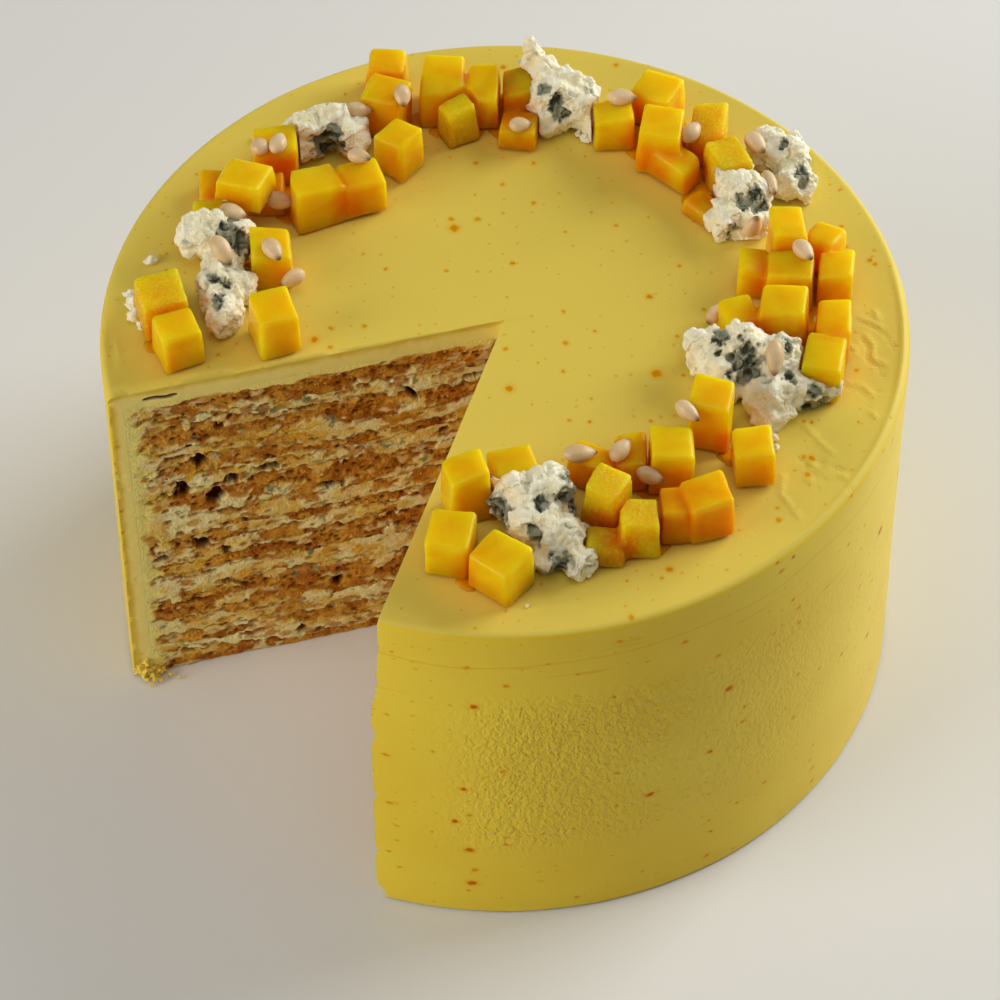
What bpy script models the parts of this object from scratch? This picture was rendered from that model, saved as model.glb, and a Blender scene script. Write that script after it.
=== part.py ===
"""A round honey cake with one slice taken out.

Nine thin sponge layers and eight layers of cream stand inside a smooth coat of icing. Five heaps
of mango dice, crumbled blue cheese and pine kernels lie on top, near the rim.

Frame: +Z up, origin at the middle of the underside, the missing slice at the front left.
Lengths are in millimetres and angles in degrees until finish_mesh makes the metres.
"""

import math
from collections import namedtuple

import bmesh
import bpy
import numpy as np
from mathutils import Matrix, Vector, noise
from mathutils.bvhtree import BVHTree

MM = 0.001

# Driving dimensions of the cake.
CAKE_HEIGHT = 108.0
FOOT_RADIUS = 100.0
TOP_RADIUS = 98.4
RIM_ROUNDING = 3.0
COAT_TOP_THICKNESS = 6.3
COAT_SIDE_THICKNESS = 6.0
COAT_FOOT_CLEARANCE = 0.4
GAP = 0.3

# The two knife cuts, as directions from the middle of the cake.
RIGHT_CUT = -107.3
LEFT_CUT = 195.0

# Thickness shares of the layers, from the lowest up.
SPONGE_SHARES = (4.6, 4.6, 11.6, 6.2, 4.2, 9.6, 4.8, 8.2, 7.0)
CREAM_SHARES = (3.8, 5.0, 6.8, 4.8, 7.0, 4.6, 4.8, 3.9)
LAYER_WAVE = 1.0
LONG_WAVE = 13.0
LONG_WAVE_SHIFT = 1.7
SHORT_WAVE = 7.0
SHORT_WAVE_SHIFT = 2.9
SHORT_WAVE_SHARE = 0.3
CUT_RELIEF = 0.7
CRUMB_SPACING = 5.0
SPONGE_RECESS = 0.25
CREAM_RECESS = 0.6
ARC_STEPS = 40
CUT_STEPS = 14
HUB_SHARE = 0.45

COAT_STEPS = 64
WALL_STEPS = 4
RIM_STEPS = 3
TOP_RING_SHARE = 0.5

# Mango dice.
DIE_ROUNDING = 1.2
DIE_UNEVENNESS = 0.5
FLAT_ANGLE = 0.2

# Blue cheese.
CHEESE_VOXEL = 1.5
CHEESE_TRIANGLES = 290
CRAG_HEIGHT = 1.5
CRAG_SIZE = 4.2
CRUMB_HEIGHT = 0.6
CRUMB_SIZE = 1.7
DIE_CLEARANCE = 0.45
CHEESE_REACH = 22.0

# Pine kernels.
KERNEL_WIDTH = 5.0
KERNEL_THICKNESS = 4.2
KERNEL_SINK = 0.9
KERNEL_SIDES = 7
KERNEL_RINGS = 4

Die = namedtuple("Die", "x y width depth height turn lean lift", defaults=(0.0, 0.0))
Lump = namedtuple("Lump", "x y z half_x half_y half_z")
Kernel = namedtuple("Kernel", "host x y z length turn")

# Each die: where it stands, its width, depth and height, its turn about the upright, how far its
# top leans towards the front, and its lift above the icing. Dice in one list stick together.
DICE = {
    "mango_left_1": [Die(-78.5, -12.0, 11.0, 10.5, 12.5, 24)],
    "mango_left_2": [Die(-83.0, -0.5, 12.5, 13.0, 12.5, 18)],
    "mango_left_3": [Die(-55.5, -7.0, 11.5, 12.0, 13.5, 19)],
    "mango_left_4": [Die(-57.0, 15.0, 11.0, 12.0, 12.5, 6)],
    "mango_left_5": [Die(-71.0, 25.5, 12.5, 12.0, 11.0, 2)],
    "mango_left_6": [Die(-64.5, 34.5, 13.0, 13.5, 10.5, -21, 0, 5.5)],
    "mango_left_7": [Die(-70.0, 41.5, 13.5, 11.5, 5.5, 0), Die(-59.0, 39.5, 12.5, 9.5, 9.0, 2)],
    "mango_left_8": [Die(-57.5, 51.0, 12.0, 12.0, 12.5, 4)],
    "mango_left_9": [Die(-47.0, 36.0, 14.5, 12.0, 13.5, 23), Die(-35.5, 39.0, 11.5, 9.5, 12.0, 20)],
    "mango_back_1": [Die(-30.0, 79.5, 11.0, 11.0, 12.5, -6), Die(-30.0, 67.5, 11.5, 11.5, 14.0, -22)],
    "mango_back_2": [Die(-26.5, 52.5, 10.0, 10.0, 13.0, -38)],
    "mango_back_3": [Die(-15.5, 73.0, 11.5, 14.0, 14.0, -4), Die(-4.5, 71.0, 10.5, 14.0, 12.5, -2, 14)],
    "mango_back_4": [Die(-11.5, 64.5, 10.5, 9.0, 12.5, 30)],
    "mango_back_5": [Die(3.0, 73.0, 9.0, 12.0, 11.5, 8), Die(3.5, 62.5, 10.5, 10.0, 7.0, -8)],
    "mango_far_1": [Die(27.5, 62.5, 11.0, 10.5, 11.0, 3)],
    "mango_far_2": [Die(38.5, 70.0, 12.5, 11.0, 12.0, -30)],
    "mango_far_3": [Die(39.5, 54.5, 12.5, 13.5, 15.0, -9, 6), Die(41.5, 49.5, 17.0, 8.5, 9.5, -41)],
    "mango_far_4": [Die(55.5, 44.5, 10.5, 13.0, 14.0, 20), Die(51.0, 58.0, 10.5, 14.0, 12.0, -8)],
    "mango_far_5": [Die(50.5, 35.0, 12.5, 8.0, 5.0, -43)],
    "mango_right_1": [Die(70.0, 18.5, 10.5, 12.5, 15.5, 6)],
    "mango_right_2": [Die(78.0, 19.0, 9.5, 9.5, 11.0, -35), Die(80.5, 8.0, 9.5, 11.0, 12.0, -5)],
    "mango_right_3": [Die(69.5, 8.0, 13.0, 11.5, 12.0, -6), Die(60.5, 10.5, 8.0, 9.5, 10.5, -5)],
    "mango_right_4": [Die(67.0, -5.0, 13.0, 11.5, 13.0, -8), Die(56.5, -5.5, 9.0, 9.5, 10.0, 17)],
    "mango_right_5": [Die(79.0, -9.5, 9.0, 13.0, 12.0, -5), Die(76.0, -21.5, 10.5, 13.5, 12.5, -12)],
    "mango_front_1": [Die(48.5, -38.5, 10.5, 10.0, 17.0, -12)],
    "mango_front_2": [Die(58.0, -49.5, 10.0, 10.5, 12.0, 5)],
    "mango_front_3": [Die(38.5, -51.5, 11.5, 11.0, 14.5, 0)],
    "mango_front_4": [Die(46.5, -65.5, 11.5, 11.5, 13.0, 18), Die(38.5, -66.5, 7.5, 11.0, 11.0, 4)],
    "mango_front_5": [Die(29.5, -50.5, 8.0, 11.5, 10.5, 5), Die(20.5, -52.0, 12.0, 8.5, 10.0, -28)],
    "mango_front_6": [Die(31.0, -71.0, 10.5, 10.5, 12.0, 5), Die(23.0, -74.5, 10.0, 9.0, 7.0, 0)],
    "mango_front_7": [Die(24.5, -64.0, 11.5, 10.5, 15.0, -28)],
    "mango_front_8": [Die(2.0, -54.5, 12.0, 10.0, 11.0, 19)],
    "mango_front_9": [Die(-9.0, -60.5, 11.0, 10.0, 16.0, 18)],
    "mango_front_10": [Die(-12.5, -75.5, 11.0, 12.5, 12.0, -11)],
    "mango_front_11": [Die(-1.0, -83.0, 12.5, 11.0, 12.5, -37)],
}

# Each lump: its middle, with z above the icing, and its half sizes.
CHEESE = {
    "blue_cheese_left": [
        Lump(-73.0, 21.0, 8.0, 8.5, 5.5, 6.5),
        Lump(-65.5, 20.0, 7.5, 4.5, 4.5, 6.5),
        Lump(-69.0, 12.0, 5.0, 5.5, 6.0, 6.0),
        Lump(-69.0, 4.0, 6.0, 6.0, 6.0, 7.0),
        Lump(-68.0, -3.0, 4.5, 4.0, 5.5, 5.5),
        Lump(-64.0, 5.5, 5.0, 4.0, 3.5, 5.0),
    ],
    "blue_cheese_back": [
        Lump(-50.0, 58.0, 6.0, 6.0, 5.5, 7.0),
        Lump(-43.5, 60.5, 7.0, 6.5, 5.5, 7.5),
        Lump(-38.5, 58.0, 6.0, 4.5, 5.0, 6.0),
    ],
    "blue_cheese_far": [
        Lump(13.5, 71.0, 7.0, 9.0, 6.5, 8.5),
        Lump(7.0, 77.5, 11.0, 3.0, 3.0, 13.0),
        Lump(10.5, 74.0, 10.0, 4.0, 4.0, 8.0),
        Lump(19.5, 69.5, 6.0, 5.0, 6.5, 7.0),
        Lump(11.0, 65.5, 4.0, 5.5, 3.5, 5.0),
        Lump(22.5, 63.5, 2.5, 2.5, 3.5, 3.5),
    ],
    "blue_cheese_right_1": [
        Lump(67.0, 52.0, 6.0, 5.5, 6.0, 7.0),
        Lump(72.0, 50.5, 5.5, 5.5, 7.0, 6.0),
        Lump(72.0, 43.5, 4.0, 6.0, 5.5, 5.0),
    ],
    "blue_cheese_right_2": [
        Lump(57.5, 37.5, 7.0, 4.5, 5.0, 7.0),
        Lump(61.5, 35.0, 6.5, 5.0, 5.0, 6.5),
        Lump(55.5, 30.5, 4.5, 4.5, 5.0, 5.5),
        Lump(61.0, 29.5, 4.0, 5.0, 4.5, 4.5),
    ],
    "blue_cheese_large": [
        Lump(49.0, -16.5, 6.0, 6.0, 6.0, 7.0),
        Lump(57.0, -17.0, 7.0, 7.0, 6.5, 7.5),
        Lump(65.0, -20.0, 6.5, 7.0, 6.5, 7.5),
        Lump(71.0, -26.5, 4.0, 7.5, 4.5, 5.5),
        Lump(63.0, -29.0, 4.5, 7.0, 6.0, 6.0),
        Lump(52.0, -23.5, 5.0, 5.5, 6.0, 6.0),
        Lump(63.5, -34.0, 2.5, 5.0, 3.5, 3.5),
    ],
    "blue_cheese_front": [
        Lump(2.0, -62.5, 6.5, 6.0, 6.0, 7.0),
        Lump(10.5, -62.0, 7.5, 6.5, 6.0, 8.0),
        Lump(7.0, -70.0, 6.0, 7.5, 6.0, 7.0),
        Lump(13.0, -73.0, 5.0, 6.5, 6.0, 6.0),
        Lump(17.0, -79.0, 3.5, 4.5, 4.5, 4.5),
        Lump(9.5, -78.5, 3.0, 4.5, 3.5, 4.0),
    ],
}

# Each kernel: what it lies on, its middle with z above the icing, its length and its turn.
KERNELS = [
    Kernel("blue_cheese_back", -36.5, 63.5, 12.0, 8.0, 25),
    Kernel("mango_left_8", -61.0, 47.5, 14.5, 6.0, 100),
    Kernel("mango_left_8", -56.5, 48.0, 14.5, 7.5, 80),
    Kernel("mango_left_9", -36.0, 43.5, 14.0, 7.0, -35),
    Kernel("mango_left_5", -66.5, 25.0, 13.5, 7.5, -20),
    Kernel("mango_left_7", -55.5, 33.0, 7.0, 7.5, -40),
    Kernel("blue_cheese_left", -68.5, 12.0, 12.5, 8.5, -55),
    Kernel("mango_left_4", -56.0, 11.5, 15.0, 7.5, -60),
    Kernel("mango_left_4", -51.0, 7.0, 5.5, 7.0, -75),
    Kernel("mango_back_1", -25.0, 63.5, 15.0, 6.5, -75),
    Kernel("mango_back_5", 4.0, 60.0, 9.0, 6.0, 0),
    Kernel("mango_far_1", 29.5, 66.0, 13.0, 8.0, -15),
    Kernel("mango_far_4", 46.5, 53.0, 13.0, 7.0, 50),
    Kernel("blue_cheese_right_1", 63.0, 49.5, 11.0, 7.5, -60),
    Kernel("blue_cheese_right_2", 65.0, 37.0, 9.5, 8.5, -75),
    Kernel("blue_cheese_right_2", 61.5, 24.5, 6.5, 8.0, -60),
    Kernel("mango_right_3", 72.5, 10.5, 14.5, 7.5, -60),
    Kernel("mango_right_4", 51.0, -2.0, 3.5, 6.5, -45),
    Kernel("blue_cheese_large", 64.0, -25.0, 13.5, 9.0, -70),
    Kernel("mango_front_1", 43.0, -42.5, 14.5, 7.5, 25),
    Kernel("mango_front_5", 17.5, -52.5, 12.5, 8.5, 8),
    Kernel("mango_front_5", 26.5, -51.5, 12.0, 7.0, 50),
    Kernel("mango_front_3", 34.0, -57.0, 8.5, 7.5, 40),
]


# Materials.

def srgb_to_linear(channel):
    if channel <= 0.04045:
        return channel / 12.92
    return ((channel + 0.055) / 1.055) ** 2.4


def make_material(name, hex_colour, roughness, subsurface=0.0):
    material = bpy.data.materials.new(name)
    material.use_nodes = True
    shader = material.node_tree.nodes["Principled BSDF"]
    channels = [int(hex_colour[i:i + 2], 16) / 255 for i in (0, 2, 4)]
    colour = [srgb_to_linear(channel) for channel in channels] + [1.0]
    shader.inputs["Base Color"].default_value = colour
    shader.inputs["Roughness"].default_value = roughness
    shader.inputs["Metallic"].default_value = 0.0
    shader.inputs["Subsurface Weight"].default_value = subsurface
    material.diffuse_color = colour
    return material


def icing_material():
    return make_material("yellow_icing", "D2B448", 0.4, 0.1)


def sponge_material():
    return make_material("honey_sponge", "9A6324", 0.9)


def cream_material():
    return make_material("blue_cheese_cream", "CDBE86", 0.6)


def mango_material():
    return make_material("mango_flesh", "D89A0C", 0.25, 0.3)


def cheese_material():
    return make_material("blue_cheese_curd", "E6E0C8", 0.7)


# Meshes and objects.

def finish_mesh(name, bm, material):
    """Turn a mesh in millimetres into an object in metres."""
    bmesh.ops.recalc_face_normals(bm, faces=bm.faces[:])
    bmesh.ops.scale(bm, vec=(MM, MM, MM), verts=bm.verts[:])
    mesh = bpy.data.meshes.new(name)
    bm.to_mesh(mesh)
    bm.free()
    mesh.materials.append(material)
    obj = bpy.data.objects.new(name, mesh)
    bpy.context.scene.collection.objects.link(obj)
    return obj


def evaluated_bmesh(obj):
    """The object's mesh with its modifiers, in its own metres."""
    depsgraph = bpy.context.evaluated_depsgraph_get()
    evaluated = obj.evaluated_get(depsgraph)
    bm = bmesh.new()
    bm.from_mesh(evaluated.to_mesh())
    evaluated.to_mesh_clear()
    return bm


def apply_modifiers(obj):
    bm = evaluated_bmesh(obj)
    obj.modifiers.clear()
    dropped = keep_largest_piece(bm)
    bm.to_mesh(obj.data)
    bm.free()
    return dropped


def keep_largest_piece(bm):
    """Drop every scrap that a cut has parted from the main body, and count the faces dropped."""
    unseen = set(bm.faces)
    pieces = []
    while unseen:
        piece = set()
        queue = [unseen.pop()]
        while queue:
            face = queue.pop()
            piece.add(face)
            for edge in face.edges:
                for neighbour in edge.link_faces:
                    if neighbour in unseen:
                        unseen.remove(neighbour)
                        queue.append(neighbour)
        pieces.append(piece)
    largest = max(pieces, key=lambda faces: sum(face.calc_area() for face in faces))
    scraps = [face for face in bm.faces if face not in largest]
    bmesh.ops.delete(bm, geom=scraps, context="FACES")
    return len(scraps)


def apply_boolean(obj, operation, tools):
    """Join or cut an object with some tool objects, which are then removed."""
    collection = bpy.data.collections.new("tools")
    bpy.context.scene.collection.children.link(collection)
    for tool in tools:
        collection.objects.link(tool)
    modifier = obj.modifiers.new(operation.title(), "BOOLEAN")
    modifier.operation = operation
    modifier.operand_type = "COLLECTION"
    modifier.collection = collection
    modifier.solver = "EXACT"
    dropped = apply_modifiers(obj)
    if operation == "UNION" and dropped:
        raise ValueError(f"{obj.name}: a piece that should be joined doesn't touch it")
    for tool in tools:
        bpy.data.objects.remove(tool)
    bpy.data.collections.remove(collection)


def smooth_round_faces(obj, angle):
    obj.data.shade_smooth()
    obj.data.set_sharp_from_angle(angle=math.radians(angle))


# The coat of icing.

def wall_radius(height):
    """Outside radius of the coat, which narrows a little towards the top."""
    share = height / CAKE_HEIGHT
    return FOOT_RADIUS + (TOP_RADIUS - FOOT_RADIUS) * share


def coat_profile():
    """Points (radius, height) round the coat's section, from the outer foot to the inner foot."""
    wall_top = CAKE_HEIGHT - RIM_ROUNDING
    points = []
    for i in range(WALL_STEPS):
        height = COAT_FOOT_CLEARANCE + (wall_top - COAT_FOOT_CLEARANCE) * i / WALL_STEPS
        points.append((wall_radius(height), height))
    rim_centre = wall_radius(wall_top) - RIM_ROUNDING
    for i in range(RIM_STEPS + 1):
        angle = math.pi / 2 * i / RIM_STEPS
        radius = rim_centre + RIM_ROUNDING * math.cos(angle)
        points.append((radius, wall_top + RIM_ROUNDING * math.sin(angle)))
    underside = CAKE_HEIGHT - COAT_TOP_THICKNESS
    inner_radius = FOOT_RADIUS - COAT_SIDE_THICKNESS
    ring = TOP_RING_SHARE * inner_radius
    points += [(ring, CAKE_HEIGHT), (0.0, CAKE_HEIGHT), (0.0, underside), (ring, underside)]
    points += [(inner_radius, underside), (inner_radius, COAT_FOOT_CLEARANCE)]
    return points


def make_coat(material):
    """Sweep the coat's section from one cut round to the other."""
    bm = bmesh.new()
    profile = coat_profile()
    on_axis = {i: bm.verts.new((0, 0, z)) for i, (r, z) in enumerate(profile) if r == 0}
    columns = []
    for step in range(COAT_STEPS + 1):
        angle = math.radians(RIGHT_CUT + (LEFT_CUT - RIGHT_CUT) * step / COAT_STEPS)
        column = []
        for i, (radius, height) in enumerate(profile):
            place = (radius * math.cos(angle), radius * math.sin(angle), height)
            column.append(on_axis[i] if i in on_axis else bm.verts.new(place))
        columns.append(column)
    for near, far in zip(columns, columns[1:]):
        for i in range(len(profile)):
            j = (i + 1) % len(profile)
            corners = [near[i], far[i], far[j], near[j]]
            corners = [v for k, v in enumerate(corners) if v not in corners[:k]]
            if len(corners) > 2:
                bm.faces.new(corners)
    bm.faces.new(columns[0])
    bm.faces.new(reversed(columns[-1]))
    coat = finish_mesh("icing_coat", bm, material)
    smooth_round_faces(coat, 35)
    return coat


# The layers of sponge and cream.

def layer_levels():
    """Mean heights of the faces between the layers, from the underside up."""
    shares = [SPONGE_SHARES[0]]
    for cream, sponge in zip(CREAM_SHARES, SPONGE_SHARES[1:]):
        shares += [cream, sponge]
    top = CAKE_HEIGHT - COAT_TOP_THICKNESS
    scale = top / sum(shares)
    levels = [0.0]
    for share in shares:
        levels.append(levels[-1] + share * scale)
    return levels


def wavy_level(levels, index, x, y):
    """Height of one face between two layers: wavy inside, flat under the cake and the coat."""
    if index in (0, len(levels) - 1):
        return levels[index]
    shift = LONG_WAVE_SHIFT * index
    long_wave = math.sin(x / LONG_WAVE + shift) * math.cos(y / LONG_WAVE - shift / 2)
    short_wave = math.sin((x + y) / SHORT_WAVE + SHORT_WAVE_SHIFT * index)
    return levels[index] + LAYER_WAVE * (long_wave + SHORT_WAVE_SHARE * short_wave)


def layer_outline(index, recess, relief):
    """Points round a layer, anticlockwise from the right cut, with crumbly cut edges."""
    edge = FOOT_RADIUS - COAT_SIDE_THICKNESS - 2 * GAP
    start = math.radians(RIGHT_CUT)
    end = math.radians(LEFT_CUT)
    margin = recess / edge
    points = []
    for step in range(ARC_STEPS + 1):
        angle = start + margin + (end - start - 2 * margin) * step / ARC_STEPS
        points.append((edge * math.cos(angle), edge * math.sin(angle)))
    middle = (start + end) / 2
    for cut, inward in ((end, -1), (start, 1)):
        along = Vector((math.cos(cut), math.sin(cut)))
        across = Vector((-along.y, along.x)) * inward
        run = []
        for step in range(1, CUT_STEPS):
            radius = edge * (1 - step / CUT_STEPS)
            crumbs = 0.5 + 0.5 * noise.noise((radius / CRUMB_SPACING, math.pi * index, inward))
            run.append(along * radius + across * (recess + relief * crumbs))
        if inward == -1:
            points += run
            points.append((recess * math.cos(middle), recess * math.sin(middle)))
        else:
            points += reversed(run)
    return points


def layer_hub(cut, inward, height):
    """A point inside the layer, straight in from the middle of one knife cut."""
    along = Vector((math.cos(cut), math.sin(cut), 0.0))
    across = Vector((-along.y, along.x, 0.0)) * inward
    return along * FOOT_RADIUS / 2 + across * HUB_SHARE * FOOT_RADIUS + Vector((0, 0, height))


def cover_layer(bm, ring, height):
    """Close one face of a layer with two fans, one for each knife cut."""
    right_hub = bm.verts.new(layer_hub(math.radians(RIGHT_CUT), 1, height))
    left_hub = bm.verts.new(layer_hub(math.radians(LEFT_CUT), -1, height))
    apex = ARC_STEPS + CUT_STEPS
    half_way = ARC_STEPS // 2
    for i in range(len(ring)):
        j = (i + 1) % len(ring)
        hub = left_hub if half_way <= i < apex else right_hub
        bm.faces.new((ring[i], ring[j], hub))
    bm.faces.new((ring[half_way], ring[apex], left_hub))
    bm.faces.new((ring[half_way], ring[apex], right_hub))


def make_layer(name, index, recess, material):
    """A notched disc with wavy faces and a crumbly edge at the two knife cuts."""
    levels = layer_levels()
    outline = layer_outline(index, recess, CUT_RELIEF)
    knife_line = layer_outline(index, 0.0, 0.0)
    bm = bmesh.new()
    rings = []
    for level, shift in ((index, GAP / 2 if index else 0.0), (index + 1, -GAP / 2)):
        ring = []
        for (x, y), (knife_x, knife_y) in zip(outline, knife_line):
            height = wavy_level(levels, level, knife_x, knife_y) + shift
            ring.append(bm.verts.new((x, y, height)))
        cover_layer(bm, ring, levels[level] + shift)
        rings.append(ring)
    for i in range(len(outline)):
        j = (i + 1) % len(outline)
        bm.faces.new((rings[0][i], rings[0][j], rings[1][j], rings[1][i]))
    layer = finish_mesh(name, bm, material)
    smooth_round_faces(layer, 25)
    return layer


def make_layers():
    sponge = sponge_material()
    cream = cream_material()
    for i in range(len(SPONGE_SHARES)):
        make_layer(f"sponge_{i + 1}", 2 * i, SPONGE_RECESS, sponge)
    for i in range(len(CREAM_SHARES)):
        make_layer(f"cream_{i + 1}", 2 * i + 1, CREAM_RECESS, cream)


# Mango dice: each is a convex solid, kept as the set of its corner points.

def die_turn(die):
    """How the die is turned about the upright and leant to the front, as a matrix."""
    lean = Matrix.Rotation(math.radians(die.lean), 3, "X")
    return Matrix.Rotation(math.radians(die.turn), 3, "Z") @ lean


def uneven_corner(seed):
    """A small move of one corner, the same in every run."""
    shifts = [noise.noise(seed + Vector((0, 0, 17.3 * axis))) for axis in range(3)]
    return Vector(shifts) * DIE_UNEVENNESS


def die_points(die):
    """Corner points of a hand-cut die with its edges taken off, standing on the icing."""
    half = np.array((die.width, die.depth, die.height)) / 2
    turn = die_turn(die)
    points = []
    for sx in (-1, 1):
        for sy in (-1, 1):
            for sz in (-1, 1):
                seed = Vector((die.x / 3 + sx, die.y / 3 + sy, die.height + sz))
                corner = uneven_corner(seed)
                for axis in range(3):
                    local = (half - DIE_ROUNDING) * (sx, sy, sz)
                    local[axis] = half[axis] * (sx, sy, sz)[axis]
                    points.append(turn @ (Vector(local) + corner))
    points = np.array(points)
    points[:, 2] -= points[:, 2].min()
    return points + (die.x, die.y, CAKE_HEIGHT + GAP + die.lift)


def hull(points):
    """The convex hull of some points as a closed mesh, its flat faces whole."""
    bm = bmesh.new()
    for point in points:
        bm.verts.new(point)
    result = bmesh.ops.convex_hull(bm, input=bm.verts[:])
    inside = result["geom_interior"] + result["geom_unused"]
    spare = {element for element in inside if isinstance(element, bmesh.types.BMVert)}
    bmesh.ops.delete(bm, geom=list(spare), context="VERTS")
    flat = math.radians(FLAT_ANGLE)
    bmesh.ops.dissolve_limit(bm, angle_limit=flat, verts=bm.verts[:], edges=bm.edges[:])
    ordered = in_fixed_order(bm)
    bm.free()
    return ordered


def in_fixed_order(bm):
    """The same mesh with its points and faces sorted, so that every run gives one result."""
    places = sorted(v.co[:] for v in bm.verts)
    number = {place: i for i, place in enumerate(places)}
    loops = []
    for face in bm.faces:
        loop = [number[v.co[:]] for v in face.verts]
        start = loop.index(min(loop))
        loops.append(loop[start:] + loop[:start])
    ordered = bmesh.new()
    verts = [ordered.verts.new(place) for place in places]
    for loop in sorted(loops):
        ordered.faces.new([verts[i] for i in loop])
    bmesh.ops.recalc_face_normals(ordered, faces=ordered.faces[:])
    return ordered


def cut_points(points, normal, offset):
    """Corner points of the part of a hull where normal . point is at most offset."""
    bm = hull(points)
    geometry = bm.verts[:] + bm.edges[:] + bm.faces[:]
    origin = Vector(normal) * offset
    bmesh.ops.bisect_plane(bm, geom=geometry, plane_co=origin, plane_no=normal, clear_outer=True)
    kept = np.array([v.co[:] for v in bm.verts])
    bm.free()
    return kept


def press_apart(first, second, directions):
    """Flatten two dice against each other, along the direction in which they overlap least."""
    best = None
    for direction in directions:
        if np.dot(second.mean(axis=0) - first.mean(axis=0), direction) < 0:
            direction = -direction
        reach = (first @ direction).max()
        start = (second @ direction).min()
        if best is None or reach - start < best[0]:
            best = (reach - start, direction, (reach + start) / 2)
    overlap, direction, middle = best
    if overlap <= -GAP:
        return first, second
    first = cut_points(first, direction, middle - GAP / 2)
    second = cut_points(second, -direction, -middle - GAP / 2)
    return first, second


def pressed_dice():
    """Every die's corner points, by node, with dice of different nodes pressed apart."""
    owners = [name for name, dice in DICE.items() for _ in dice]
    flat_dice = [die for dice in DICE.values() for die in dice]
    solids = [die_points(die) for die in flat_dice]
    directions = [[np.array(column[:]) for column in die_turn(die).col] for die in flat_dice]
    for i in range(len(solids)):
        for j in range(i + 1, len(solids)):
            if owners[i] != owners[j]:
                tried = directions[i] + directions[j]
                solids[i], solids[j] = press_apart(solids[i], solids[j], tried)
    by_node = {name: [] for name in DICE}
    for name, points in zip(owners, solids):
        by_node[name].append(points)
    return by_node


def grown(points, margin):
    """The same corner points, moved out from their middle by a margin."""
    centre = points.mean(axis=0)
    reach = np.abs(points - centre).max(axis=0)
    return centre + (points - centre) * (1 + margin / reach)


def make_mango(name, solids, material):
    """One die, or dice that stick together, as one solid."""
    body = finish_mesh(name, hull(solids[0]), material)
    others = [finish_mesh("stuck_on", hull(points), material) for points in solids[1:]]
    if others:
        apply_boolean(body, "UNION", others)
    return body


# Blue cheese: craggy lumps, hollowed wherever a die is in the way.

def lump_mesh(lumps):
    bm = bmesh.new()
    for lump in lumps:
        place = Matrix.Translation((lump.x, lump.y, CAKE_HEIGHT + lump.z))
        size = Matrix.Diagonal((lump.half_x, lump.half_y, lump.half_z, 1.0))
        bmesh.ops.create_icosphere(bm, subdivisions=3, radius=1.0, matrix=place @ size)
    return bm


def crag(point):
    """How far the broken curd stands out or falls in at a point."""
    coarse = noise.fractal(point / CRAG_SIZE, 0.7, 2.2, 3)
    fine = noise.noise(point / CRUMB_SIZE)
    return CRAG_HEIGHT * coarse + CRUMB_HEIGHT * fine


def make_cheese(name, lumps, material, dice):
    body = finish_mesh(name, lump_mesh(lumps), material)
    remesh = body.modifiers.new("Fuse", "REMESH")
    remesh.mode = "VOXEL"
    remesh.voxel_size = CHEESE_VOXEL * MM
    apply_modifiers(body)
    roughen(body)
    decimate = body.modifiers.new("Facets", "DECIMATE")
    decimate.ratio = CHEESE_TRIANGLES / (2 * len(body.data.polygons))
    apply_modifiers(body)
    cut_flat(body, Vector((0, 0, (CAKE_HEIGHT + GAP) * MM)), Vector((0, 0, 1)))
    cutters = []
    for points in dice:
        cutters.append(finish_mesh("cutter", hull(grown(points, DIE_CLEARANCE)), material))
    if cutters:
        apply_boolean(body, "DIFFERENCE", cutters)
    return body


def roughen(body):
    bm = bmesh.new()
    bm.from_mesh(body.data)
    bm.normal_update()
    moves = [(v, v.normal * crag(v.co / MM) * MM) for v in bm.verts]
    for vertex, move in moves:
        vertex.co += move
    bm.to_mesh(body.data)
    bm.free()


def cut_flat(body, place, inward):
    """Cut the lump on a plane, keep the part that lies inward of it and close the cut."""
    bm = bmesh.new()
    bm.from_mesh(body.data)
    geom = bm.verts[:] + bm.edges[:] + bm.faces[:]
    cut = bmesh.ops.bisect_plane(bm, geom=geom, plane_co=place, plane_no=inward, clear_inner=True)
    rim = [edge for edge in cut["geom_cut"] if isinstance(edge, bmesh.types.BMEdge)]
    bmesh.ops.holes_fill(bm, edges=rim)
    bmesh.ops.triangulate(bm, faces=bm.faces[:])
    bmesh.ops.recalc_face_normals(bm, faces=bm.faces[:])
    keep_largest_piece(bm)
    bm.to_mesh(body.data)
    bm.free()


def middle_of(body):
    return sum((v.co for v in body.data.vertices), Vector()) / len(body.data.vertices)


def part_cheese(first, second):
    """Cut two lumps of cheese apart on the plane half way between them."""
    first_middle = middle_of(first)
    second_middle = middle_of(second)
    direction = (second_middle - first_middle).normalized()
    half_way = (first_middle + second_middle) / 2
    half_gap = direction * GAP / 2 * MM
    cut_flat(first, half_way - half_gap, -direction)
    cut_flat(second, half_way + half_gap, direction)


# Pine kernels, fused to what they lie on.

def kernel_points(kernel, place, along, up, margin=0.0):
    """Corner points of a plump teardrop, blunt at one end and pointed at the other."""
    side = up.cross(along).normalized()
    tip = along * (kernel.length / 2 + margin)
    points = [place - tip, place + tip]
    for ring in range(1, KERNEL_RINGS):
        share = ring / KERNEL_RINGS
        fullness = math.sin(math.pi * share ** 0.8) ** 0.7
        wide = (KERNEL_WIDTH / 2 + margin) * fullness
        thick = (KERNEL_THICKNESS / 2 + margin) * fullness
        for step in range(KERNEL_SIDES):
            angle = 2 * math.pi * step / KERNEL_SIDES
            offset = side * wide * math.cos(angle) + up * thick * math.sin(angle)
            points.append(place + along * kernel.length * (share - 0.5) + offset)
    return [point[:] for point in points]


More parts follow.
